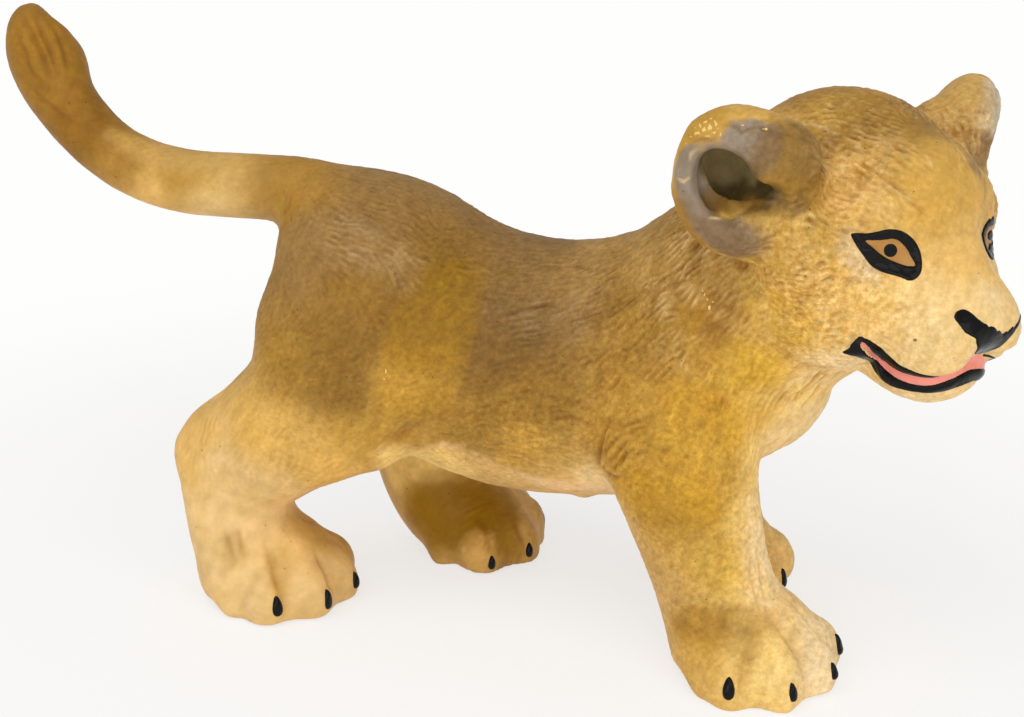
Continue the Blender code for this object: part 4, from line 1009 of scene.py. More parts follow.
def carve_fur(skin, twin, flip_head, flip_body):
    """Groups of short strokes along the coat. Returns how far each point was cut and raised."""
    lie, depth, length = coat(skin, twin, flip_head, flip_body)
    random = np.random.default_rng(STROKE_SEED)
    chance = np.clip(depth, 0, None) ** CHANCE_POWER
    chosen = random.choice(len(chance), STROKE_GROUPS, p=chance / chance.sum())
    tree = kd_tree(skin.points)
    carved = np.zeros(len(skin.points))
    raised = np.zeros(len(skin.points))
    taken = set()
    for centre in chosen:
        cell = tuple((skin.points[centre] // GROUP_GAP).astype(int).tolist())
        if cell in taken:
            continue
        taken.add(cell)
        count = random.integers(*STROKES_IN_GROUP)
        spacing = STROKE_SPACING * random.uniform(*STROKE_VARIETY)
        bend = random.normal(0, STROKE_BEND)
        turn = random.normal(0, GROUP_TURN)
        strong = random.uniform(*GROUP_STRENGTHS)
        across = np.cross(skin.normals[centre], lie[centre])
        for place in (np.arange(count) - (count - 1) / 2) * spacing:
            half = length[centre] * random.uniform(*STROKE_HALVES)
            slip = lie[centre] * random.normal(0, STROKE_SLIP * half)
            middle, index, gap = tree.find(skin.points[centre] + across * place + slip)
            if gap > STROKE_GAP or depth[index] < LEAST_DEPTH:
                continue
            own_turn = turn + random.normal(0, STROKE_TURN)
            along = lie[index] + np.cross(skin.normals[index], lie[index]) * own_turn
            along /= np.linalg.norm(along)
            side_way = np.cross(skin.normals[index], along)
            width = STROKE_WIDTH * random.uniform(*STROKE_VARIETY)
            deep = depth[index] * strong * random.uniform(*STROKE_STRENGTHS)
            found = np.array([hit[1] for hit in tree.find_range(middle, half + width)])
            offset = skin.points[found] - np.array(middle)
            run = offset @ along / half
            side = offset @ side_way / width + bend * half / width * run * run
            fade = np.clip(1 - run * run, 0, 1)
            carved[found] = np.maximum(carved[found], deep * fade * np.exp(-side * side))
            beside = np.exp(-((np.abs(side) - RIDGE_PLACE) ** 2) * RIDGE_SHARPNESS)
            raised[found] = np.maximum(raised[found], RIDGE_SHARE * deep * fade * beside)
    carved *= patchy(skin.points, *CUT_PATCHES)
    raised *= (1 - np.clip(carved, 0, 1)) * patchy(skin.points, *RIDGE_PATCHES)
    skin.raise_by(STROKE_DEPTH * (raised - carved))
    return carved, raised


def roughen(skin, twin):
    """Small bumps all over. Returns how rough each point's paint is, and how high its bump."""
    centres, shares = zip(*GRAIN)
    grain = blended(twin, centres, [(share,) for share in shares], GRAIN_SOFTNESS)[:, 0]
    bumps = np.zeros(len(grain))
    for seed, (size, height) in enumerate(GRAIN_BUMPS, GRAIN_SEED):
        wave = waves(skin.points, size, seed)
        skin.raise_by(height * grain * wave)
        bumps += wave / len(GRAIN_BUMPS)
    return grain, bumps


def shift_forms(skin):
    """Moves parts of the skin to the object's outline, and keeps them above the floor."""
    start = skin.points.copy()
    for place, radius, way in FORM_SHIFTS:
        strength = np.exp(-((start - place) ** 2).sum(1) / radius**2)
        skin.points += np.outer(strength, way)
    skin.points[:, 2] = np.maximum(skin.points[:, 2], np.minimum(start[:, 2], LEAST_HEIGHT))
    skin.find_normals()


def cast(tree, x, y):
    """Where the camera's ray through a photograph's pixel meets the skin, and the normal there."""
    place, right, up, back = camera_axes()
    across = (x - PHOTO_SIZE[0] / 2) / FOCAL_PIXELS
    above = (PHOTO_SIZE[1] / 2 - y) / FOCAL_PIXELS
    way = Vector(right * across + up * above - back).normalized()
    return tree.ray_cast(Vector(place), way)[:2]


def inside(points, outline):
    """Whether each flat point is inside the outline."""
    found = np.zeros(len(points), bool)
    outline = np.asarray(outline, float)
    for (x0, y0), (x1, y1) in zip(outline, np.roll(outline, -1, axis=0)):
        if y0 == y1:
            continue
        crosses = (points[:, 1] > min(y0, y1)) & (points[:, 1] <= max(y0, y1))
        found ^= crosses & (points[:, 0] < x0 + (points[:, 1] - y0) * (x1 - x0) / (y1 - y0))
    return found


def grid_in(outline, step):
    """Points in even rows inside an outline."""
    outline = np.asarray(outline, float)
    low = outline.min(0)
    high = outline.max(0)
    points = []
    for row, y in enumerate(np.arange(low[1] + step / 2, high[1], step * ROW_GAP)):
        for x in np.arange(low[0] + step / 2 * (1 + row % 2), high[0], step):
            points.append((x, y))
    points = np.array(points)
    return points[inside(points, outline)]


def between(places, low, high):
    """The numbers of the places inside a box."""
    return ((places > low) & (places < high)).all(1).nonzero()[0]


def area(tree, twin, outline, soft):
    """How far each point is inside a patch of skin outlined by pixels, from 0 to 1."""
    hits = [cast(tree, x, y)[0] for x, y in grid_in(outline, AREA_STEP)]
    hits = np.array([tuple(hit) for hit in hits if hit is not None])
    near = kd_tree(hits)
    reach = 2 * (soft + AREA_REACH)
    close = between(twin, hits.min(0) - reach, hits.max(0) + reach)
    found = np.zeros(len(twin))
    distance = np.array([near.find(point)[2] for point in twin[close].tolist()])
    found[close] = smooth(1 - (distance - AREA_REACH) / (2 * soft))
    return found


def mouth_measure(local):
    """Each head place's angle round the chin in degrees, and its height above the mouth's line."""
    forward = (local[:, 0] - MOUTH_CENTRE) / MOUTH_RADII[0]
    angle = np.degrees(np.arctan2(local[:, 1] / MOUTH_RADII[1], forward))
    edges = [np.interp(angle, *np.transpose(line)) for line in (PINK_TOP, PINK_LOW)]
    return angle, local[:, 2] - (edges[0] + edges[1]) / 2


def draw_back_jaw(skin):
    """Sets the lower jaw's front back under the muzzle."""
    local = body_to_head(skin.points)
    side = np.maximum(eased(-local[:, 1], *JAW_SIDES[0]), eased(local[:, 1], *JAW_SIDES[1]))
    (middle_top, side_top), (middle_low, side_low) = JAW_HEIGHTS
    share = eased(local[:, 2], middle_top + side_top * side, middle_low + side_low * side)
    share *= eased(local[:, 0], *JAW_FRONT) * on_head(skin.points)
    skin.points -= np.outer(share * JAW_SETBACK, HEAD_AXES[0])


def sculpt_mouth(skin, twin):
    """Swells the lips and cuts the groove between them."""
    local = body_to_head(twin)
    local[:, 1] = np.minimum(local[:, 1], -SMALL)
    angle, rise = mouth_measure(local)
    front = on_head(twin) & (local[:, 0] > MOUTH_BACK)
    front &= (local[:, 2] < MOUTH_HEIGHTS[1]) & (local[:, 2] > MOUTH_HEIGHTS[0])
    form = np.zeros(len(rise))
    for place, width, height, (start, span) in LIP_FORMS:
        bump = np.exp(-(((rise - place) / width) ** 2)) * np.clip((-angle - start) / span, 0, 1)
        form += height * bump
    skin.raise_by(np.clip((MOUTH_END[0] + angle) / MOUTH_END[1], 0, 1) * front * form)


def line_distance(points, line):
    """The distance of each point from a line of short runs, and the share along it."""
    best = np.full(len(points), FAR)
    share = np.zeros(len(points))
    runs = len(line) - 1
    for index in range(runs):
        step = line[index + 1] - line[index]
        along = np.clip((points - line[index]) @ step / (step @ step), 0, 1)
        distance = np.linalg.norm(points - line[index] - along[:, None] * step, axis=1)
        closer = distance < best
        best[closer] = distance[closer]
        share[closer] = (index + along[closer]) / runs
    return best, share


def crease(skin, places, line, width, depth):
    """A groove along a line, fading towards its ends. Returns its strength on each point."""
    line = np.asarray(line, float)
    reach = CREASE_REACH * width
    close = between(places, line.min(0) - reach, line.max(0) + reach)
    distance, share = line_distance(places[close], line)
    ends = np.sin(math.pi * np.clip(share, CREASE_END, 1 - CREASE_END)) ** 0.5
    found = np.zeros(len(places))
    found[close] = np.exp(-((distance / width) ** 2)) * ends
    skin.raise_by(-depth * found)
    return found


def paw_lines(tree):
    """The grooves between the toes that the near side's own lines don't give."""
    lines = []
    for name, (x, y, heading) in PAWS.items():
        for number in PAW_GROOVES[name]:
            angle = math.radians(heading + (TOE_TURNS[number] + TOE_TURNS[number + 1]) / 2)
            out = Vector((math.cos(angle), math.sin(angle), 0.0))
            hits = [tree.ray_cast(Vector((x, y, height)) + out * PAW_OUTSIDE, -out)[0]
                    for height in PAW_GROOVE_HEIGHTS]
            lines.append([tuple(hit) for hit in hits if hit is not None])
    return lines


def on_skin(tree, line):
    """A line of pixels laid on the skin."""
    places = [cast(tree, x, y)[0] for x, y in line]
    return [tuple(place) for place in places if place is not None]


def sculpt(skin, tree, twin, far):
    """Swells and cuts the forms. Returns the painted shade in cuts and painted highlight on
    ridges.
    """
    for place, radius, height, far_share in HEAD_SWELLS:
        centre = head_to_body(np.array([place]))[0]
        strength = height * np.exp(-((twin - centre) ** 2).sum(1) / radius**2)
        strength[far] *= far_share
        skin.raise_by(strength)
    skin.raise_by(-EAR_CAVITY_DEPTH * area(tree, twin, EAR_CAVITY, EAR_CAVITY_EDGE))
    draw_back_jaw(skin)
    sculpt_mouth(skin, twin)
    dark = np.zeros(len(skin.points))
    pale = np.zeros(len(skin.points))
    for width, depth, tone, line in CREASES:
        found = tone * crease(skin, twin, on_skin(tree, line), width, depth)
        dark = np.maximum(dark, found)
        pale = np.maximum(pale, -found)
    own = skin.points.copy()
    lines = [(width, depth, tone, on_skin(tree, line)) for width, depth, tone, line in LEG_CREASES]
    lines += [(*PAW_GROOVE, line) for line in paw_lines(tree)]
    for width, depth, tone, line in lines:
        dark = np.maximum(dark, tone * crease(skin, own, line, width, depth))
    return dark, pale


# Painted films

def smooth_outline(outline, step, closed=True):
    """An even run of points on the smooth curve through an outline."""
    points = np.asarray(outline, float)
    count = len(points)
    curve = []
    for index in range(count if closed else count - 1):
        numbers = [index + offset for offset in (-1, 0, 1, 2)]
        if closed:
            numbers = [number % count for number in numbers]
        before, start, end, after = points[np.clip(numbers, 0, count - 1)]
        for share in np.linspace(0, 1, CURVE_STEPS, endpoint=False):
            curve.append(
                0.5 * (2 * start + (end - before) * share
                       + (2 * before - 5 * start + 4 * end - after) * share**2
                       + (3 * start - before - 3 * end + after) * share**3)
            )
    curve = np.array(curve + [curve[0] if closed else points[-1]])
    gaps = np.linalg.norm(np.diff(curve, axis=0), axis=1)
    length = np.concatenate(([0], np.cumsum(gaps)))
    steps = max(int(round(length[-1] / step)), 4)
    even = np.linspace(0, length[-1], steps + 1)
    even = even[:-1] if closed else even
    return np.column_stack([np.interp(even, length, curve[:, axis]) for axis in range(2)])


def edge_distance(points, line, closed):
    line = np.vstack((line, line[:1])) if closed else line
    best = np.full(len(points), FAR)
    for start, end in zip(line, line[1:]):
        step = end - start
        along = np.clip((points - start) @ step / max(step @ step, TINY), 0, 1)
        distance = np.linalg.norm(points - start - along[:, None] * step, axis=1)
        best = np.minimum(best, distance)
    return best


class Patch:
    """An outline filled with small flat triangles, and each point's distance from its edge.

    A halved patch's outline stays open. A straight run, where its other half joins, closes it.
    """

    def __init__(self, outline, step, holes=(), halved=False):
        rim = smooth_outline(outline, step, closed=not halved)
        middle = np.zeros((0, 2))
        if halved:
            count = max(int(round(np.linalg.norm(rim[0] - rim[-1]) / step)), 2)
            middle = np.linspace(rim[-1], rim[0], count + 1)[1:-1]
        loops = [np.vstack((rim, middle))] + [smooth_outline(hole, step) for hole in holes]
        fill = grid_in(loops[0], step)
        for hole in loops[1:]:
            fill = fill[~inside(fill, hole)]
        for loop in loops:
            fill = fill[edge_distance(fill, loop, True) > LOOP_GAP * step]
        edges = []
        start = 0
        for loop in loops:
            edges += [(start + index, start + (index + 1) % len(loop))
                      for index in range(len(loop))]
            start += len(loop)
        points = [Vector(point) for point in np.vstack(loops + [fill])]
        made = delaunay_2d_cdt(points, edges, [], 0, SMALL)
        self.points = np.array([tuple(point) for point in made[0]])
        faces = np.array(made[2])
        middle_of = self.points[faces].mean(1)
        keep = inside(middle_of, loops[0])
        for hole in loops[1:]:
            keep &= ~inside(middle_of, hole)
        self.faces = faces[keep]
        self.edge = edge_distance(self.points, rim, not halved)
        for hole in loops[1:]:
            self.edge = np.minimum(self.edge, edge_distance(self.points, hole, True))


def border(edges):
    """The edges, each a start and an end, that only one face has."""
    _, first, number = np.unique(np.sort(edges, axis=1), axis=0, return_index=True,
                                 return_counts=True)
    return edges[first[number == 1]]


def film_mesh(name, patch, places, normals, heights, middle=None):
    """A film, closed but for its middle: the patch laid on the skin, its underside in the skin."""
    count = len(places)
    points = np.vstack((places + normals * heights[:, None], places - normals * FILM_DEPTH))
    turn = patch.faces
    corner = points[turn]
    facing = np.cross(corner[:, 1] - corner[:, 0], corner[:, 2] - corner[:, 0])
    if (facing * normals[turn].sum(1)).sum() < 0:
        turn = turn[:, ::-1]
    rim = border(np.vstack([turn[:, [0, 1]], turn[:, [1, 2]], turn[:, [2, 0]]]))
    if middle is not None:
        rim = rim[~middle[rim].all(1)]
    faces = turn.tolist() + (turn[:, ::-1] + count).tolist()
    faces += [(end, start, start + count, end + count) for start, end in rim.tolist()]
    used = sorted({index for face in faces for index in face})
    place = {index: number for number, index in enumerate(used)}
    mesh = bpy.data.meshes.new(name)
    mesh.from_pydata(((points[used] + ORIGIN) * MM).tolist(), [],
                     [tuple(place[index] for index in face) for face in faces])
    mesh.validate()
    mesh.shade_smooth()
    return mesh


def split(found):
    """The places and the normals of what a tree has found."""
    return (np.array([tuple(hit[0]) for hit in found]),
            np.array([tuple(hit[1]) for hit in found]))


def laid(tree, patch, place):
    """Where each of the patch's points meets the skin, by the given way to look at it."""
    found = [place(tree, *point) for point in patch.points]
    good = np.array([hit[0] is not None for hit in found])
    if not good.all():
        for index in (~good).nonzero()[0]:
            distance = ((patch.points[good] - patch.points[index]) ** 2).sum(1)
            found[index] = found[good.nonzero()[0][distance.argmin()]]
        patch.faces = patch.faces[good[patch.faces].all(1)]
    places, normals = split(found)
    return places, smoothed_normals(patch, normals)


def smoothed_normals(patch, normals):
    for _ in range(NORMAL_ROUNDS):
        total = normals.copy()
        for side in range(3):
            for axis in range(3):
                total[:, axis] += np.bincount(patch.faces[:, side],
                                              normals[patch.faces[:, side - 1], axis],
                                              len(normals))
        normals = unit(total)
    return normals


def other_side(tree, patch, places, size=(1, 1, 1), shift=(0, 0, 0), centre=(0, 0, 0)):
    """The patch on the head's other side, resized and shifted from its exact twin."""
    local = np.array(centre) + (body_to_head(places) - centre) * size
    local[:, 1] *= -1
    local += shift
    places, normals = split([tree.find_nearest(Vector(point)) for point in head_to_body(local)])
    return places, smoothed_normals(patch, normals)


def by_mouth(tree, x, y):
    """Looks at the mouth from round the chin: x is the angle's measure, y the height."""
    angle = math.radians(x / MOUTH_DEGREE)
    out = np.array((math.cos(angle) * MOUTH_RADII[0], math.sin(angle) * MOUTH_RADII[1], 0.0))
    out /= np.linalg.norm(out)
    start = head_to_body(np.array([(MOUTH_CENTRE, 0.0, y)]) + out * MOUTH_OUTSIDE)[0]
    return tree.ray_cast(Vector(start), Vector(-(out @ HEAD_AXES)))[:2]


def by_front(tree, x, y):
    """Looks at the face from the front: x to the cub's left, y up."""
    start = head_to_body(np.array([(FACE_OUTSIDE, x, y)]))[0]
    return tree.ray_cast(Vector(start), Vector(-HEAD_AXES[0]))[:2]


def rounded(edge, width, rise, sunk=0.03):
    """A film's height by the distance from its edge: a shoulder that starts in the skin."""
    share = np.clip(edge / width, 0, 1)
    return (rise + sunk) * np.sqrt(1 - (1 - share) ** 2) - sunk


def ring(x, y, wide, tall, reaches):
    """A round outline with a point for each reach."""
    turns = np.linspace(0, 2 * math.pi, len(reaches), endpoint=False)
    return [(x + wide * reach * math.cos(turn), y + tall * reach * math.sin(turn))
            for turn, reach in zip(turns, reaches)]


def add_film(name, mesh, material, node, slot):
    made = linked(name, mesh)
    mesh.materials.append(material)
    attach(made, "root")
    if node:
        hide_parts(*node)


def both_halves(tree, patch, places, normals, heights, name):
    """One mesh of a half patch and its twin, joined along the head's middle."""
    middle = np.abs(patch.points[:, 0]) < SMALL
    near = film_mesh(name, patch, places, normals, heights, middle)
    far_places, far_normals = other_side(tree, patch, places)
    far_places[middle] = places[middle]
    far_normals[middle] = normals[middle]
    bm = bmesh.new()
    bm.from_mesh(near)
    bm.from_mesh(film_mesh(name, patch, far_places, far_normals, heights, middle))
    bmesh.ops.remove_doubles(bm, verts=bm.verts, dist=SEAM_GAP * MM)
    bm.to_mesh(near)
    bm.free()
    near.shade_smooth()
    return near


# Skins

def mixed(colour, share, paint):
    return colour * (1 - share[:, None]) + np.array(PAINTS[paint]) * share[:, None]


def paint_skin(skin, tree, twin, carved, raised, dark, pale, bumps):
    """Each point's colour: soft zones, hand-painted areas, painted shade in grooves, painted
    highlights.
    """
    places, names = zip(*ZONES)
    moved = twin + drift(skin.points, *ZONE_DRIFT)
    colour = blended(moved, places, [PAINTS[name] for name in names], ZONE_SOFTNESS)
    wander = drift(skin.points, *AREA_DRIFT)
    ridges = np.clip(RIDGE_PALENESS * raised, 0, 1)
    for areas, where, most in ((PAINTED_AREAS, twin, 1), (FAR_AREAS, skin.points, 1),
                               (RIDGE_AREAS, twin, ridges)):
        for outline, soft, paint, strength in areas:
            share = strength * area(tree, where + wander, outline, soft) * most
            colour = mixed(colour, share, paint)
    # Raised lines painted paler: painted highlight.
    colour = mixed(colour, pale, "shell")
    # Grooves and creases painted darker: painted shade.
    groove_shade = np.clip(carved * CUT_SHADE + dark, 0, MOST_SHADE)[:, None]
    colour = colour * (1 - groove_shade) + colour * np.array(GROOVE_SHADE_TINT) * groove_shade
    # Ridges painted lighter, a painted highlight, over a random mottle.
    mottle_and_highlight = 1 + RIDGE_GAIN * raised + BUMP_GAIN * bumps
    for size, gain, seed in MOTTLES:
        mottle_and_highlight = mottle_and_highlight + gain * waves(skin.points, size, seed)
    return colour * mottle_and_highlight[:, None]


def piece_of(skin):
    """The moulding that each face belongs to."""
    middle = skin.points[skin.faces].mean(1)
    piece = np.where(middle[:, 0] < BODY_SEAM, 0, 1)
    piece[(piece == 1) & on_head(middle)] = 2
    piece[(middle[:, 0] < TAIL_SEAM) & (middle[:, 2] > TAIL_LOW)] = 3
    return piece


def caps(faces, points):
    """Fans that close a mesh's open borders: their middles, and triangles that use them."""
    edges = np.vstack([faces[:, [side, (side + 1) % 4]] for side in range(4)])
    after = {}
    for start, end in border(edges).tolist():
        after.setdefault(start, []).append(end)
    middles = []
    fans = []
    while after:
        start = next(iter(after))
        loop = [start]
        while not (len(loop) > 1 and loop[-1] == start):
            ends = after[loop[-1]]
            loop.append(ends.pop())
            if not ends:
                del after[loop[-2]]
        centre = len(points) + len(middles)
        middles.append(points[loop].mean(0))
        fans += [(second, first, centre) for first, second in zip(loop, loop[1:])]
    return np.array(middles).reshape(-1, 3), np.array(fans, np.int32).reshape(-1, 3)


def add_skins(skin, colour, grain, material):
    piece = piece_of(skin)
    for number, node in enumerate(MOULDINGS):
        used, faces = np.unique(skin.faces[piece == number], return_inverse=True)
        faces = faces.reshape(-1, 4)
        points = skin.points[used]
        middles, fans = caps(faces, points)
        points = np.vstack((points, middles))
        corners = np.concatenate((faces.ravel(), fans.ravel()))
        fan_starts = faces.size + np.arange(len(fans)) * 3
        starts = np.concatenate((np.arange(len(faces)) * 4, fan_starts))
        mesh = bpy.data.meshes.new(node + "_skin")
        mesh.vertices.add(len(points))
        places = ((points + ORIGIN) * MM).astype(np.float32)
        mesh.vertices.foreach_set("co", places.ravel())
        mesh.loops.add(len(corners))
        mesh.loops.foreach_set("vertex_index", corners.astype(np.int32))
        mesh.polygons.add(len(starts))
        mesh.polygons.foreach_set("loop_start", starts.astype(np.int32))
        mesh.update(calc_edges=True)
        mesh.shade_smooth()
        normals = skin.normals[used]
        inner = np.tile(normals.mean(0), (len(middles), 1))
        mesh.normals_split_custom_set_from_vertices(np.vstack((normals, inner)).tolist())
        layer = mesh.color_attributes.new("paint", "FLOAT_COLOR", "POINT")
        tint = np.ones((len(points), 4), np.float32)
        tint[:len(used), :3] = np.clip(colour[used], 0, 1)
        tint[:len(used), 3] = np.clip(grain[used] / GRAIN_SCALE, 0, 1)
        layer.data.foreach_set("color", tint.ravel())
        made = linked(node + "_skin", mesh)
        mesh.materials.append(material)
        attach(made, "root")
        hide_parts(node)


# Materials

class Graph:
    """The nodes of a material or of the world, with short ways to add and join them."""

    def __init__(self, owner):
        owner.use_nodes = True
        self.nodes = owner.node_tree.nodes
        self.links = owner.node_tree.links

    def fill(self, node, values):
        """Sets the node's inputs, each to a plain value or to another node's output."""
        for name, value in values.items():
            if isinstance(value, bpy.types.NodeSocket):
                self.links.new(value, node.inputs[name])
            else:
                node.inputs[name].default_value = value

    def add(self, kind, output, values=(), **settings):
        """A new node's output. Its settings come before its values."""
        node = self.nodes.new(kind)
        for name, value in settings.items():
            setattr(node, name, value)
        self.fill(node, dict(values))
        return node.outputs[output]

    def places(self):
        return self.add("ShaderNodeTexCoord", "Object")

    def noise(self, size, detail, rough=0.5):
        return self.add("ShaderNodeTexNoise", "Fac",
                        {"Scale": 1 / (size * MM), "Detail": detail, "Roughness": rough,
                         "Vector": self.places()})

    def ramp(self, value, start, end, low=0.0, high=1.0, **settings):
        return self.add("ShaderNodeMapRange", "Result",
                        {"Value": value, "From Min": start, "From Max": end, "To Min": low,
                         "To Max": high}, **settings)

    def math(self, operation, first, second):
        return self.add("ShaderNodeMath", "Value", {0: first, 1: second}, operation=operation)

    def colour(self, first, second, share=1.0, blend="MIX"):
        return self.add("ShaderNodeMix", "Result", {"A": first, "B": second, "Factor": share},
                        data_type="RGBA", blend_type=blend)

    def tint(self, value, tints, span=(0.3, 0.7)):
        """A colour that goes from one tint to another as the value rises."""
        low, high = [(*tint, 1.0) for tint in tints]
        return self.colour(low, high, self.ramp(value, *span))

    def pits(self, size, radius, share_left_out):
        """A value that is 1 on most of the skin and 0 in sparse round pits."""
        cells = self.nodes.new("ShaderNodeTexVoronoi")
        self.fill(cells, {"Scale": 1 / (size * MM), "Vector": self.places()})
        rim = self.ramp(cells.outputs["Distance"], 0.5 * radius / size, radius / size)
        chance = self.add("ShaderNodeSeparateColor", "Red", {"Color": cells.outputs["Color"]})
        return self.math("MAXIMUM", rim, self.math("LESS_THAN", chance, share_left_out))

    def bump(self, height, strength, distance):
        return self.add("ShaderNodeBump", "Normal",
                        {"Height": height, "Strength": strength, "Distance": distance * MM})


def hide_material():
    """Spray paint over the moulding: a fine speckle, soft clouds and tiny pits in the paint."""
    made = bpy.data.materials.new("painted_hide")
    graph = Graph(made)
    paint = graph.nodes.new("ShaderNodeAttribute")
    paint.attribute_name = "paint"
    rough = paint.outputs["Alpha"]
    speckle = graph.noise(*SPECKLE_NOISE)
    pits = graph.pits(*PITS)
    colour = graph.colour(paint.outputs["Color"], graph.tint(speckle, SPECKLE_TINTS), rough,
                          "MULTIPLY")
    for value, tints, span in ((graph.noise(*CLOUD_NOISE), CLOUD_TINTS, (0.3, 0.7)),
                               (pits, PIT_TINTS, (0, 1))):
        colour = graph.colour(colour, graph.tint(value, tints, span), blend="MULTIPLY")
    height = graph.math("MULTIPLY", graph.noise(*HIDE_NOISE), pits)
    graph.fill(graph.nodes["Principled BSDF"], {
        "Base Color": colour,
        "Roughness": graph.ramp(speckle, 0.0, 1.0, *HIDE_ROUGHNESS),
        "Normal": graph.bump(height, rough, HIDE_BUMP),
        "Specular IOR Level": HIDE_SPECULAR,
    })
    return made


def gloss_material(name, paint, roughness, specular=0.5):
    """Brushed paint, a little uneven."""
    made = bpy.data.materials.new(name)
    graph = Graph(made)
    brush = graph.noise(*BRUSH_NOISE)
    shade = graph.ramp(brush, 0.0, 1.0, *BRUSH_SHADES)
    graph.fill(graph.nodes["Principled BSDF"], {
        "Base Color": graph.colour((*PAINTS[paint], 1.0), shade, blend="MULTIPLY"),
        "Roughness": roughness,
        "Normal": graph.bump(brush, *BRUSH_BUMP),
        "Specular IOR Level": specular,
    })
    return made


# Floor and light

def add_floor():
    """A pale floor that keeps the object's shadow and glows white further out."""
    bpy.ops.mesh.primitive_circle_add(vertices=96, radius=FLOOR_RADIUS * MM, fill_type="NGON")
    floor = bpy.context.object
    floor.name = "studio_floor"
    made = bpy.data.materials.new("studio_floor")
    graph = Graph(made)
    shader = graph.nodes["Principled BSDF"]
    graph.fill(shader, {"Base Color": FLOOR_COLOUR, "Roughness": 0.9,
                        "Specular IOR Level": 0.1})
    white = graph.add("ShaderNodeEmission", "Emission", {"Color": GLOW_COLOUR})
    away = graph.add("ShaderNodeVectorMath", "Value", {0: graph.places()}, operation="LENGTH")
    glow = graph.ramp(away, *(reach * MM for reach in GLOW_REACH), FLOOR_GLOW,
                      interpolation_type="SMOOTHSTEP")
    path = graph.nodes.new("ShaderNodeLightPath").outputs
    rays = graph.math("MAXIMUM", path["Is Camera Ray"], path["Is Glossy Ray"])
    mix = graph.add("ShaderNodeMixShader", "Shader",
                    {"Fac": graph.math("MULTIPLY", glow, rays), 1: shader.outputs["BSDF"],
                     2: white})
    graph.fill(graph.nodes["Material Output"], {"Surface": mix})
    floor.data.materials.append(made)


def add_light():
    world = bpy.data.worlds.new("studio")
    bpy.context.scene.world = world
    graph = Graph(world)
    light = graph.nodes["Background"]
    graph.fill(light, {"Color": (1.0, 1.0, 1.0, 1), "Strength": WORLD_LIGHT})
    white = graph.add("ShaderNodeBackground", "Background", {"Color": BACKDROP_COLOUR})
    mix = graph.add("ShaderNodeMixShader", "Shader",
                    {"Fac": graph.add("ShaderNodeLightPath", "Is Camera Ray"),
                     1: light.outputs["Background"], 2: white})
    graph.fill(graph.nodes["World Output"], {"Surface": mix})
    for name, place, size, power in LAMPS:
        data = bpy.data.lights.new(name, "AREA")
        data.size = size * MM
        data.energy = power
        lamp = linked(name, data)
        lamp.location = Vector(place) * MM
        aim = Vector(LAMP_TARGET) * MM - lamp.location
        lamp.rotation_euler = aim.to_track_quat("-Z", "Y").to_euler()


# The painted marks

def lay_film(name, tree, patch, place, material, node, slot, *shoulder):
    """One film laid on the skin. It stands for the nodes given, if any."""
    places, normals = laid(tree, patch, place)
    mesh = film_mesh(name, patch, places, normals, rounded(patch.edge, *shoulder))
    add_film(name, mesh, material, node, slot)
    return places


def add_eyes(tree, black, amber):
    centre = np.mean(EYE_INNER, axis=0)
    lapped = [centre + (np.array(point) - centre) * IRIS_LAP for point in EYE_INNER]
    x, y, radius = PUPIL
    eye_centre = body_to_head(np.array([tuple(cast(tree, x, y)[0])]))[0]
    for kind, patch, material, slot, width, rise in (
        ("eye_line", Patch(EYE_OUTER, 1.0, holes=(EYE_INNER,)), black, "black_paint", 3.5, 0.13),
        ("iris", Patch(lapped, 1.0), amber, "amber_paint", 2.0, 0.03),
        ("pupil", Patch(ring(x, y, radius, radius, [1] * 16), 0.8), black, "black_paint",
         4.0, 0.10),
    ):
        places = lay_film(kind + "_right_film", tree, patch, cast, material, (kind + "_right",),
                          slot, width, rise)
        places, normals = other_side(tree, patch, places, FAR_EYE_SIZE, FAR_EYE_SHIFT, eye_centre)
        mesh = film_mesh(kind + "_left_film", patch, places, normals,
                         rounded(patch.edge, width, rise))
        add_film(kind + "_left_film", mesh, material, (kind + "_left",), slot)


def add_mouth(tree, black, pink):
    scale = np.array((MOUTH_DEGREE, 1.0))
    tongue = [(turn, height + PINK_LAP * (turn < LAP_END)) for turn, height in PINK_TOP[::-1]]
    tongue += [*PINK_CORNER, *((turn, height - PINK_LAP) for turn, height in PINK_LOW)]
    lips = [*LIP_LOW[::-1], *LIP_TOP[::-1], *PINK_TOP[LIP_JOIN::-1], *PINK_LOW]
    for name, outline, material, slot, node, rise in (
        ("mouth_film", tongue, pink, "pink_paint", "mouth", 0.06),
        ("lip_film", lips, black, "black_paint", "lower_lip", 0.10),
    ):
        patch = Patch([np.array(point) * scale for point in outline], 0.075, halved=True)
        places, normals = laid(tree, patch, by_mouth)
        heights = rounded(patch.edge, 0.2, rise)
        mesh = both_halves(tree, patch, places, normals, heights, name)
        add_film(name, mesh, material, (node,), slot)


def add_nose(tree, black):
    lay_film("nose_film", tree, Patch(NOSE, 0.08), by_front, black, ("nose",), "black_paint",
             0.3, 0.08)
    lay_film("far_lip_line", tree, Patch(LIP_STROKE, 0.6), cast, black, (), "black_paint",
             1.5, 0.05)


def claw_spot(tree, name, spots):
    """Where a claw's film goes: at its node, or where the photograph shows it close by."""
    centre = Vector(np.mean(np.array(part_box(name)), axis=0) / MM - ORIGIN)
    centre += Vector(CLAW_SHIFTS.get(name, (0, 0, 0)))
    close = [spot for spot in spots if (spot - centre).length < CLAW_REACH]
    if close and name not in CLAW_SHIFTS:
        centre = min(close, key=lambda spot: (spot - centre).length)
    return tree.find_nearest(centre)[:2]


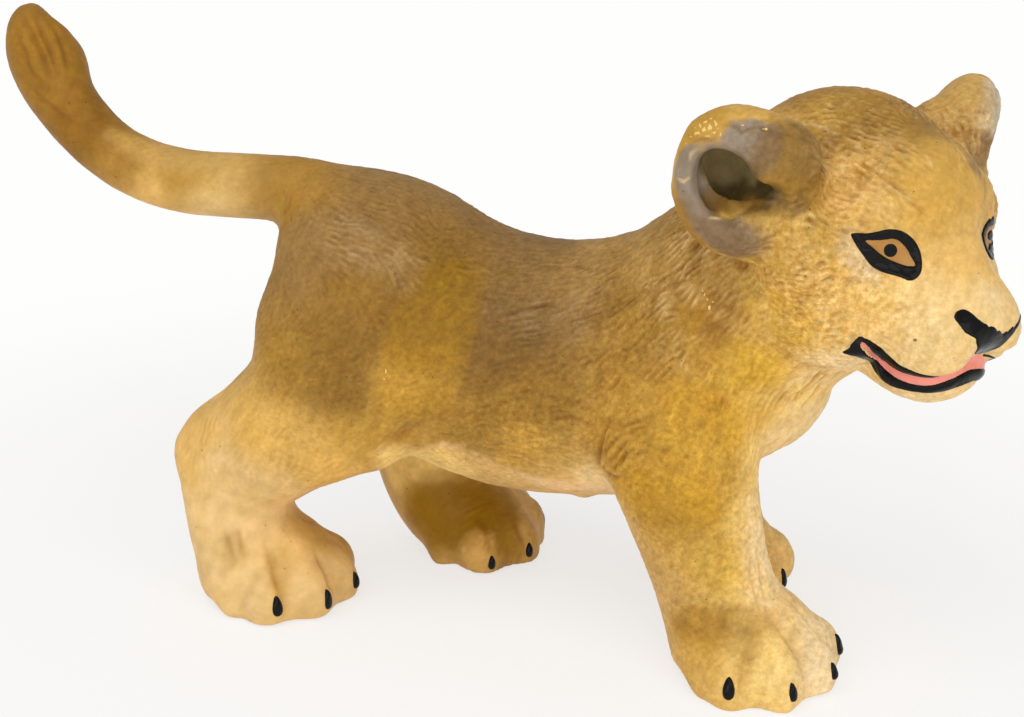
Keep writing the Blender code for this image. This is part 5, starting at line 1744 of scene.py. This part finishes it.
def add_claws(tree, black):
    spots = [cast(tree, x, y)[0] for x, y in CLAW_PIXELS]
    spots = [spot for spot in spots if spot is not None]
    for name in sorted(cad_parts):
        if not name.startswith("claw"):
            continue
        centre, normal = claw_spot(tree, name, spots)
        up = (Vector((0, 0, 1)) - normal * normal.z).normalized()
        side = up.cross(normal)

        def place(tree, x, y):
            start = centre + normal * CLAW_OUTSIDE + side * x + up * y
            return tree.ray_cast(start, -normal, CLAW_LOOK)[:2]

        wide, tall = np.array(CLAW_SIZE) * CLAW_SCALES.get(name, 1)
        drop = [(wide * math.sin(turn) * (1 - CLAW_POINT * math.cos(turn)), tall * math.cos(turn))
                for turn in np.linspace(0, 2 * math.pi, 18, endpoint=False)]
        lay_film(name + "_film", tree, Patch(drop, 0.08), place, black, (name,), "black_paint",
                 0.42, CLAW_RISE)


def add_marks(tree, brown, chip):
    """The dark spot on the muzzle and the flakes off the top coat."""
    x, y, radius = MOLE
    spot = Patch(ring(x, y, radius, 0.8 * radius, [1] * 9), 0.7)
    lay_film("muzzle_spot", tree, spot, cast, brown, (), "black_paint", 1.5, 0.02)
    random = np.random.default_rng(CHIP_SEED)
    for number, (x, y, wide, tall) in enumerate(CHIPS, 1):
        patch = Patch(ring(x, y, wide, tall, random.uniform(*CHIP_REACHES, CHIP_CORNERS)), 0.8)
        slot = "hide_hind" if x < HIND_PIXELS else "hide_fore" if x < FORE_PIXELS else "hide_head"
        lay_film(f"flake_{number}", tree, patch, cast, chip, (), slot, 1.0, 0.015, 0.015)


# The figure

bpy.context.scene.view_settings.view_transform = "Standard"
add_camera()
add_floor()
add_light()
skin = joined_skin()
shift_forms(skin)
start_tree = skin.tree()
twin, flip_head, flip_body = near_side(skin.points)
dark, pale = sculpt(skin, start_tree, twin, flip_head | flip_body)
grain, bumps = roughen(skin, twin)
skin.find_normals()
carved, raised = carve_fur(skin, twin, flip_head, flip_body)
skin.find_normals()
colour = paint_skin(skin, start_tree, twin, carved, raised, dark, pale, grain * bumps)
add_skins(skin, colour, grain, hide_material())
tree = skin.tree()
black = gloss_material("black_gloss", "black", 0.20, 0.16)
amber = gloss_material("amber_gloss", "amber", 0.38)
pink = gloss_material("pink_gloss", "pink", 0.35)
add_eyes(tree, black, amber)
add_mouth(tree, black, pink)
add_nose(tree, black)
add_claws(tree, black)
add_marks(tree, gloss_material("spot_brown", "bark", 0.5),
          gloss_material("flaked_paint", "chip", 0.45))
